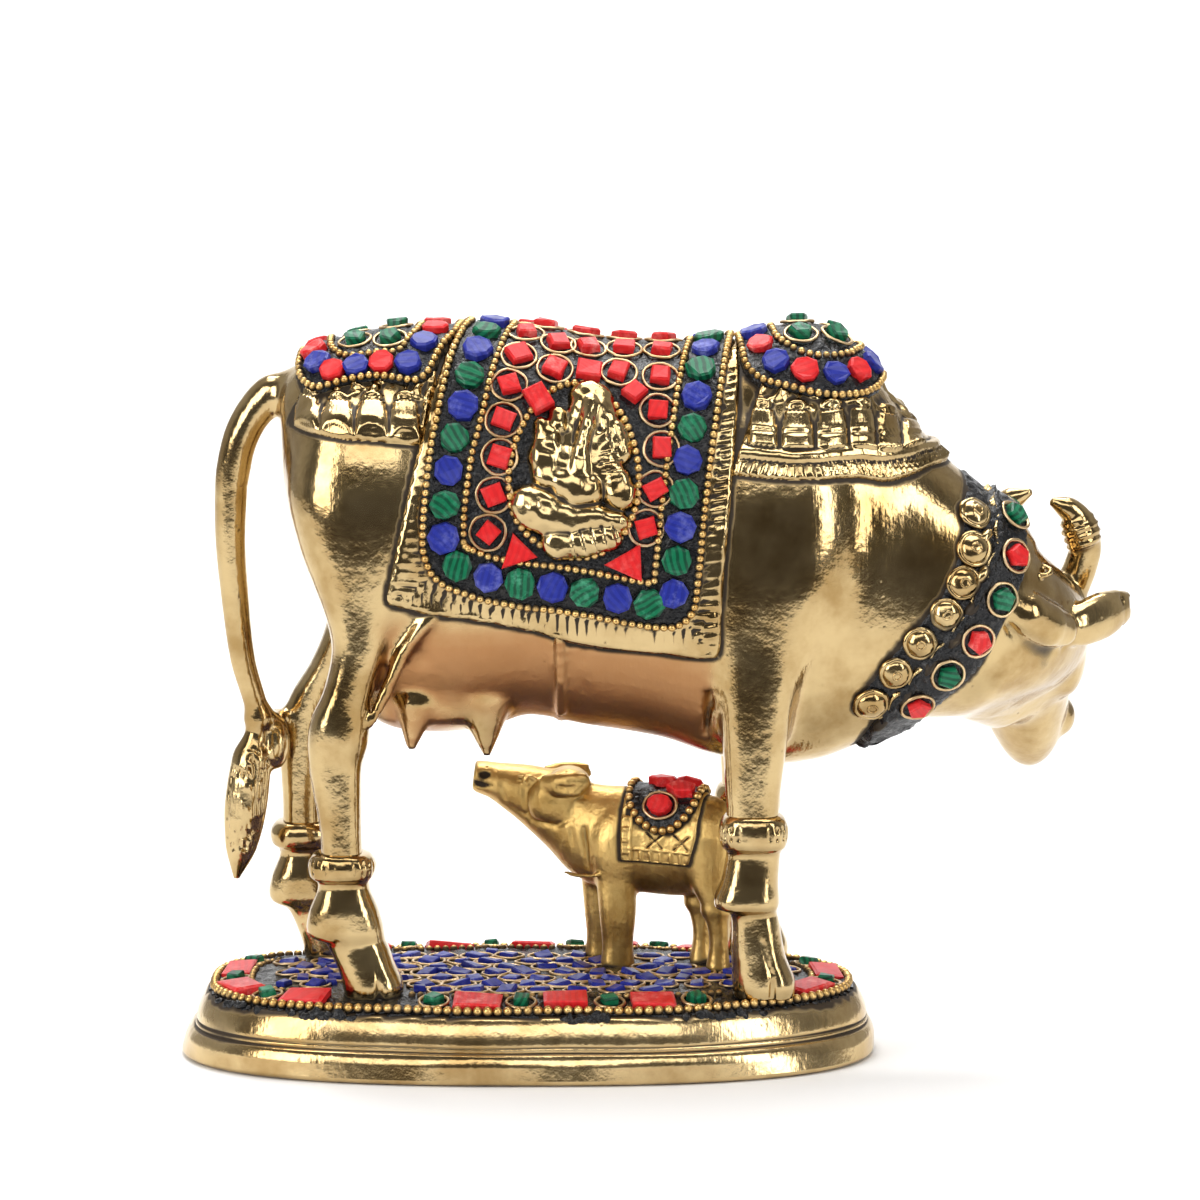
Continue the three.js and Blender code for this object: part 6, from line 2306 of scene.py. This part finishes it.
@dataclass
class Plinth:
    """Oval stepped plinth with a mosaic top."""

    trees: OrnamentTrees
    paints: Paints
    feet: tuple = (
        (-35, -22, 9.5), (-46.5, 22, 9.5), (-41, -22, 8), (-52, 22, 8), (53.8, -22.5, 9.5), (53.8, 22.5, 9.5),
        (20.8, 8.9, 5.6), (17.2, 19.9, 5.6), (44, 3.2, 5.6), (40.4, 13.8, 5.6),
    )

    def clear(self, spots: Array, room: float) -> Array:
        """Which spots are clear of every foot.

        Args:
            spots: places as ways along and across.
            room: room left around it.

        Returns:
            Whether each place is free.
        """
        free = np.ones(len(spots), bool)
        for x, y, radius in self.feet:
            free &= np.hypot(spots[:, 0] - x, spots[:, 1] - y) > radius + room - 3
        return free

    def build(self) -> None:
        """Builds the casting and the mosaic."""
        steps = np.array(PLINTH_STEPS, float)
        times = np.concatenate([[0], np.cumsum(np.linalg.norm(np.diff(steps[:, :2], axis=0), axis=1))])
        dense = glide(times, steps, np.unique(np.concatenate([times, np.arange(0, times[-1], 0.5)])))
        rings = np.stack([
            np.column_stack([plinth_outline(length, depth, z, PLINTH_SIDES), np.full(PLINTH_SIDES, z)])
            for z, length, depth in dense])
        piece = stretched(rings).object("plinth_body")
        creased = rings[..., 2].ravel()
        hollow = 0.6 * np.exp(-((creased - 7.1) / 0.35) ** 2) + 0.5 * np.exp(-((creased - 8.3) / 0.3) ** 2)
        mark(piece, "hollow", np.concatenate([hollow, [0.5, 0.5]]))
        clean([piece], "plinth", self.paints.plinth)
        top = Table(PLINTH_TOP)
        mosaic = Mosaic("plinth_mosaic", top, self.trees, self.paints)
        rim = Loop(plinth_outline(74, 37.4, 16.4, 200))
        inner = rim.inset(8.6)

        def resin(spots: Array) -> Array:
            """Height of the black bed.

            Args:
                spots: places as ways along and across.

            Returns:
                Height of the resin at each place.
            """
            distance, _ = rim.measured(spots)
            return np.where(distance < 0.9, 0.1 + (1 + 0.16 * rough(spots, 91, 0.9))
                            * smoothstep(0.9, 0, distance), -0.9)

        mosaic.bed("bed", sheet(top, (-76, -40), (76, 40), 1, resin, 0.3))
        mosaic.beads("rim_beads", rim.even(2.25)[0], 1.3, 1.1)
        beads = inner.even(1.95)[0]
        mosaic.beads("inner_beads", beads[self.clear(beads, 2.4)], 1.2, 0.85)
        spots, ways = rim.inset(4.9).even(10, 3)
        which = np.arange(len(spots)) % 2
        random = np.random.default_rng(93)
        tiles = top.places(spots, 1.5, turns=ways)
        tiles.out = unit(tiles.out + random.normal(0, 0.07, tiles.out.shape))
        tiles.size = drawn_sizes(random, len(spots), (1.6, 2.0), (1.12, 1.3))
        red = tiles.picked((which == 0) & self.clear(spots, 3))
        mosaic.stones("tiles", RED, red, 4.1, 4, 94, thickness=1.6, uneven=1.1)
        ring = (which == 1) & self.clear(spots, 2.5)
        rings = top.places(spots[ring], 1.4)
        mosaic.rings("rings", rings, 3.3, 0.4)
        green = turned(rings.raised(0.3), random.uniform(0, 3, ring.sum()))
        mosaic.stones("chips_green", GREEN, green, 2.3, 4, 95, uneven=0.9)
        self.field(mosaic, inner)
        self.lap(mosaic)

    def lap(self, mosaic: Mosaic) -> None:
        """Resin that ran over the edge of the casting here and there.

        Args:
            mosaic: mosaic that gets the pieces.
        """
        random = np.random.default_rng(96)
        angle = np.concatenate([random.normal(at, spread_by, count) for at, spread_by, count in RESIN_RUNS])
        rim = Loop(plinth_outline(75.6, 39, PLINTH_TOP, 400)).points
        spots = rim[(np.radians(angle) / (2 * np.pi) * len(rim)).astype(int) % len(rim)]
        places = mosaic.skin.places(spots, 0)
        places.out = unit(np.column_stack([spots * (1, 3.8), np.full(len(spots), 60)]))
        places.at[:, 2] -= random.uniform(-0.4, 1.2, len(spots))
        places.size = np.stack([random.uniform(0.8, 1.6, len(spots)), random.uniform(0.6, 1.3, len(spots)),
                                random.uniform(0.5, 0.8, len(spots))], -1)
        mosaic.add("lap", Ornament.BEAD, places, 1.1, self.paints.resin, "resin", uneven=1.0)

    def field(self, mosaic: Mosaic, inner: Loop) -> None:
        """Packs blue chips in wire rings inside the border.

        Args:
            mosaic: mosaic that gets the pieces.
            inner: outline of the field.
        """
        random = np.random.default_rng(97)
        inside = inner.inset(4.6)
        low, high = inner.points.min(0), inner.points.max(0)
        kept = []
        rows = np.arange(low[1], high[1], 6.6)
        for i, y in enumerate(rows):
            for x in np.arange(low[0] + (i % 2) * 4, high[0], 7.9):
                kept.append((x + random.uniform(-0.9, 0.9), y + random.uniform(-0.7, 0.7)))
        spots = np.array(kept)
        spots = spots[(inside.measured(spots)[0] < 0) & self.clear(spots, 2)]
        rings = mosaic.skin.places(spots, 1.35)
        rings.size = random.uniform(0.8, 1.05, len(spots))
        mosaic.rings("field_rings", rings, 3.7, 0.36)
        chips = turned(mosaic.skin.places(spots, 1.35), random.uniform(0, 3, len(spots)))
        chips.out = unit(chips.out + random.normal(0, 0.12, chips.out.shape))
        chips.size = drawn_sizes(random, len(spots), (0.9, 1.3), (0.75, 1.05))
        mosaic.stones("chips_blue", BLUE, chips, 2.6, 4, 98, uneven=1.2, thickness=1.1)
        between = spots + random.uniform(-4.6, 4.6, spots.shape)
        between = between[(inside.measured(between)[0] < 2) & self.clear(between, 2.2)]
        gap = np.linalg.norm(between[:, None] - spots[None], axis=2).min(1)
        between = between[gap > 3.9]
        loose = turned(mosaic.skin.places(between, 1.3), random.uniform(0, 3, len(between)))
        mosaic.stones("chips_loose", BLUE, loose, 1.9, 4, 99, uneven=1.0, thickness=1.3)


@dataclass
class Collar:
    """Collar of ring stones in black resin with a row of cast bells behind it."""

    skin: Surface
    trees: OrnamentTrees
    paints: Paints

    def build(self) -> None:
        """Builds bed, rings, stones and bells."""
        stone_line = np.array(((-4, 0), *COLLAR_SPOTS, (-6.4, -68), (-7.4, -76), (-7.6, -92)), float)
        bell_line = np.array(((-13.4, 0), *BELL_SPOTS, (-15.6, -74), (-16.6, -92)), float)
        place = lambda g, table: np.interp(np.abs(g), -table[:, 1], table[:, 0])

        def resin(spots: Array) -> Array:
            """Height of the black bed, lower between the bells, with a wavy cast rim.

            Args:
                spots: places as ways along and across.

            Returns:
                Height of the resin at each place.
            """
            s, g = spots[..., 0], spots[..., 1]
            stones, bells = place(g, stone_line), place(g, bell_line)
            inside = smoothstep(4.3, 3.6, s - stones) * smoothstep(-5.2, -4.4, s - stones)
            behind = (smoothstep(-3.4, -2.2, s - bells) * smoothstep(-4.0, -4.6, s - stones)
                      * smoothstep(70, 66, np.abs(g)))
            return -0.8 + 2.5 * inside + 1.2 * behind + 0.16 * rough(spots, 101, 0.9) * (inside + behind)

        def rim(spots: Array) -> Array:
            """Height of the thin wavy line between stones and bells.

            Args:
                spots: places as ways along and across.

            Returns:
                Height of the rim at each place.
            """
            s, g = spots[..., 0], spots[..., 1]
            off = s - place(g, stone_line) + 4.9 + 0.45 * np.cos(g * 2 * np.pi / 7.8)
            return -0.8 + 2.3 * smoothstep(0.62, 0.2, np.abs(off)) * smoothstep(72, 68, np.abs(g))

        mosaic = Mosaic("collar_mosaic", self.skin, self.trees, self.paints)
        reach = self.skin.most - 1
        mosaic.bed("bed", sheet(self.skin, (-22, -reach), (8.5, reach), 0.7, resin, -0.9))
        piece = sheet_object("collar_rim", sheet(self.skin, (-16, -74), (2, 74), 0.36, rim, -0.9))
        clean([piece], "cow", self.paints.cow)
        rings = self.skin.places(mirrored_spots(COLLAR_SPOTS), 1.85)
        mosaic.rings("rings", rings, 3.75, 0.42)
        random = np.random.default_rng(103)
        chips = turned(rings.raised(0.4), random.uniform(0, 3, len(rings.at)))
        count = len(COLLAR_SPOTS)
        which = np.arange(len(rings.at)) % count % 2
        mosaic.stones("chips_green", GREEN, chips.picked(which == 0), 2.8, 5, 104, uneven=1.0)
        mosaic.stones("chips_red", RED, chips.picked(which == 1), 2.8, 5, 105, uneven=1.0)
        bells = self.skin.places(mirrored_spots(BELL_SPOTS), 0.8)
        bells.size = random.uniform(0.94, 1.05, len(bells.at))
        made = self.trees.set_out("bells", Ornament.BELL, bells, BELL_RADIUS, material=self.paints.cow,
                                  uneven=0.7, seed=3)
        spots = np.array([(s + 4.2, g - 3.4) for s, g in BELL_SPOTS])
        lumps = self.skin.places(mirrored_spots(spots), 0.7)
        lumps.size = np.tile((0.8, 1.6, 1.0), (len(lumps.at), 1))
        small = self.trees.set_out("bell_lumps", Ornament.BEAD, lumps, LUMP_RADIUS, material=self.paints.cow,
                                   uneven=0.7)
        clean([made, small], "cow", self.paints.cow)


@dataclass(frozen=True)
class Softbox:
    """Soft panel of light: place, what it faces, width, height and radiance."""

    name: str
    at: tuple
    aim: tuple
    size: tuple
    radiance: float

    def build(self) -> None:
        """Adds the panel."""
        data = bpy.data.lights.new(self.name, "AREA")
        data.shape = "RECTANGLE"
        data.size, data.size_y = self.size
        data.energy = self.radiance * math.pi * self.size[0] * self.size[1]
        made = bpy.data.objects.new(self.name, data)
        made.location = self.at
        made.rotation_euler = (Vector(self.aim) - Vector(self.at)).to_track_quat("-Z", "Y").to_euler()
        bpy.context.scene.collection.objects.link(made)


class Studio:
    """Camera, floor and light."""

    softboxes = (
        Softbox("key", (-0.95, -0.85, 0.56), (0, 0, 0.14), (0.6, 1.05), 5.6),
        Softbox("side", (0.95, -0.75, 0.46), (0, 0, 0.14), (0.34, 0.9), 5.6),
        Softbox("front", (0, -1.25, 0.86), (0, 0, 0.02), (1.4, 0.5), 2.8),
        Softbox("top", (0.05, 0.1, 1.1), (0, 0, 0.1), (1.1, 0.6), 4.4),
        Softbox("backdrop", (0, 1.0, 1.8), (0, 2.1, 0.2), (1.6, 0.5), 20.0),
    )

    def camera(self) -> None:
        """Camera at the photograph's angle."""
        data = bpy.data.cameras.new("camera")
        data.sensor_width = 36
        data.lens = 144.2
        made = bpy.data.objects.new("camera", data)
        made.location = (0.0167, -1.0918, 0.2381)
        made.rotation_euler = (math.radians(83), 0, 0)
        bpy.context.scene.collection.objects.link(made)
        bpy.context.scene.camera = made

    def floor(self) -> None:
        """Pale plain floor that sweeps up far behind."""
        reach, rise, back = 1.6, 0.5, 1.8
        profile = [(-0.34, 0)] + [
            (back + rise * math.sin(a), rise * (1 - math.cos(a)))
            for a in np.linspace(0, math.pi / 2, 12)] + [(back + rise, 2.2)]
        points = [(side * reach, y, z - 0.0002) for y, z in profile for side in (-1, 1)]
        faces = [(2 * i, 2 * i + 1, 2 * i + 3, 2 * i + 2) for i in range(len(profile) - 1)]
        mesh = bpy.data.meshes.new("floor")
        mesh.from_pydata(points, [], faces)
        for face in mesh.polygons:
            face.use_smooth = True
        made = bpy.data.objects.new("floor", mesh)
        bpy.context.scene.collection.objects.link(made)
        material = bpy.data.materials.new("floor")
        material.use_nodes = True
        shader = material.node_tree.nodes["Principled BSDF"]
        shader.inputs["Base Color"].default_value = (0.86, 0.86, 0.86, 1)
        shader.inputs["Roughness"].default_value = 0.8
        made.data.materials.append(material)

    def sky(self) -> None:
        """Plain light all round, dim towards the viewer in what the metal mirrors."""
        world = bpy.data.worlds.new("studio")
        bpy.context.scene.world = world
        world.use_nodes = True
        graph = Graph(world.node_tree)
        way = graph.add("ShaderNodeTexCoord").outputs["Generated"]
        parts = graph.add("ShaderNodeSeparateXYZ", {0: way}).outputs
        strength = graph.scaled(parts[1], -0.35, 0.25, 0.1, 0.45)
        seen = graph.add("ShaderNodeLightPath").outputs["Is Camera Ray"]
        background = world.node_tree.nodes["Background"]
        background.inputs["Color"].default_value = (1, 0.98, 0.95, 1)
        graph.feed(background.inputs["Strength"], graph.math("MAXIMUM", strength, seen))

    def build(self) -> None:
        """Builds everything."""
        self.camera()
        self.floor()
        self.sky()
        for softbox in self.softboxes:
            softbox.build()
        bpy.context.scene.view_settings.view_transform = "Standard"


# What lies on each piece, by the first letters of its name
CONTACTS = (
    (("cow_body",), ("blanket_slab", "rump_mosaic_bed", "hump_mosaic_bed", "rump_tassels", "hump_tassels",
                     "collar_rim",
                     "collar_mosaic_bed", "bells")),
    (("cow_head", "collar_rim", "bell", "collar_mosaic_beads"), ("collar_mosaic_bed",)),
    (("rump_tassels", "rump_mosaic_beads"), ("rump_mosaic_bed", "blanket_slab")),
    (("hump_tassels", "hump_mosaic_beads"), ("hump_mosaic_bed", "blanket_slab")),
    (("blanket_mosaic_beads", "blanket_mosaic_medallion_beads"), ("blanket_mosaic_bed",)),
    (("hind_", "fore_", "plinth_body", "plinth_mosaic_rim_beads", "plinth_mosaic_inner_beads"),
     ("plinth_mosaic_bed",)),
    (("calf_body",), ("calf_cloth", "plinth_mosaic_bed")),
    (("calf_cloth", "calf_mosaic_beads"), ("calf_mosaic_bed",)),
)


# Dark spots painted on the castings, mostly painted shade and painted dark reflections (below the ear lobe,
# under the belly between the legs, on the rump, neck, tail and plinth ends), the rest old stains: place, how
# far it reaches and how much
SHADE_AND_STAINS = (
    ((113, -13.5, 95), 3, 0.22), ((116, -10.5, 93.2), 3.6, 0.28), ((118.5, -7, 91.6), 3.4, 0.3),
    ((118.4, -6, 88), 2.4, 0.22), ((129, 13, 116), 9, 0.3), ((-56, 0, 130), 14, 0.2),
    ((-68, -24, 9), 13, 0.34), ((72, -20, 10), 10, 0.26), ((-36, -12, 80), 9, 0.3),
    ((50, -6, 72), 9, 0.3), ((-11.4, 18.6, 59.4), 3.2, 0.6), ((-11.4, 26.8, 59.4), 3.2, 0.6),
    ((-64, 8, 60), 14, 0.18), ((-66, 0, 120), 9, 0.16), ((22, 16, 58.6), 3, 0.3), ((86, 0, 140), 9, 0.14),
)


def darken_contacts_shade_and_stains() -> None:
    """Darkens pieces near every contact and lays the spots of painted shade, painted dark reflections and old
    stains.
    """
    shapes = [shape for shape in bpy.data.objects if shape.type == "MESH"]
    for shape in shapes:
        if shape.name.startswith(("cow_", "plinth_body", "calf_body")):
            points = read(shape.data.vertices, "co", 3)
            values = read(shape.data.attributes["hollow"].data, "value", 1)[:, 0]
            # Painted shade and painted dark reflections, with the old stains, added to the hollow value that
            # the brass darkens
            for at, reach, amount in SHADE_AND_STAINS:
                apart = np.linalg.norm(points / MM - at, axis=1)
                values += amount * np.exp(-(apart / reach) ** 2)
            mark(shape, "hollow", values)
    for names, covers in CONTACTS:
        darken_near_contacts([s for s in shapes if s.name.startswith(names)],
             [s for s in shapes if s.name in covers])


def main() -> None:
    """Builds the statue and its studio."""
    logging.basicConfig(level=logging.INFO, format="%(message)s")
    paints = Paints()
    trees = OrnamentTrees()
    statue = Statue()
    casting = statue.trunk()
    tree = casting.shell().tree()
    skin = Surface(tree, (0, 0, 120), (1, 0, 0), (0, 0, 1), -60, 100)
    collar = Surface(tree, (101.5, 0, 100.25), (0.913, 0, -0.408), (0.408, 0, 0.913), -24, 3, 170)
    seam, ahead = np.array((97.9, 0, 101.9)), np.array((0.913, 0, -0.408))
    body = casting.behind(seam + 0.3 * ahead, ahead).object("cow_body")
    copper_and_shade_belly(body)
    head = statue.head().behind(seam - 0.3 * ahead, -ahead).object("cow_head")
    clean([body, head, statue.tail().object("cow_tail")], "cow", paints.cow)
    for name, stations, side, shift in (
        ("hind_near_foot", HIND_FOOT, NEAR, 0), ("hind_far_foot", HIND_FOOT, FAR, FAR_HIND_MOST),
        ("fore_near_foot", FORE_FOOT, NEAR, 0), ("fore_far_foot", FORE_FOOT, FAR, 0),
    ):
        clean([statue.foot(stations, side, shift).object(name)], "cow", paints.cow)
    Blanket(skin, trees, paints).build()
    Cap("rump_mosaic", skin, trees, paints, RUMP_BEADS, RUMP_INNER, RUMP_STONES, tuple("rbrbrbbr"),
        RUMP_RINGS).build()
    Cap("hump_mosaic", skin, trees, paints, HUMP_BEADS, HUMP_INNER, HUMP_STONES, tuple("brbrbrb"),
        HUMP_RINGS).build()
    Band("rump_tassels", skin, paints, RUMP_HEM, RUMP_BEADS, RUMP_TASSELS, 0.6, 10.4, False).build()
    Band("hump_tassels", skin, paints, HUMP_HEM, HUMP_BEADS, HUMP_TASSELS, 6.9, 16.4, True).build()
    Collar(collar, trees, paints).build()
    Calf().build(trees, paints)
    Plinth(trees, paints).build()
    # Darkens contacts and lays the painted shade, painted dark reflections and old stains
    darken_contacts_shade_and_stains()
    Studio().build()


if __name__ == "__main__":
    main()
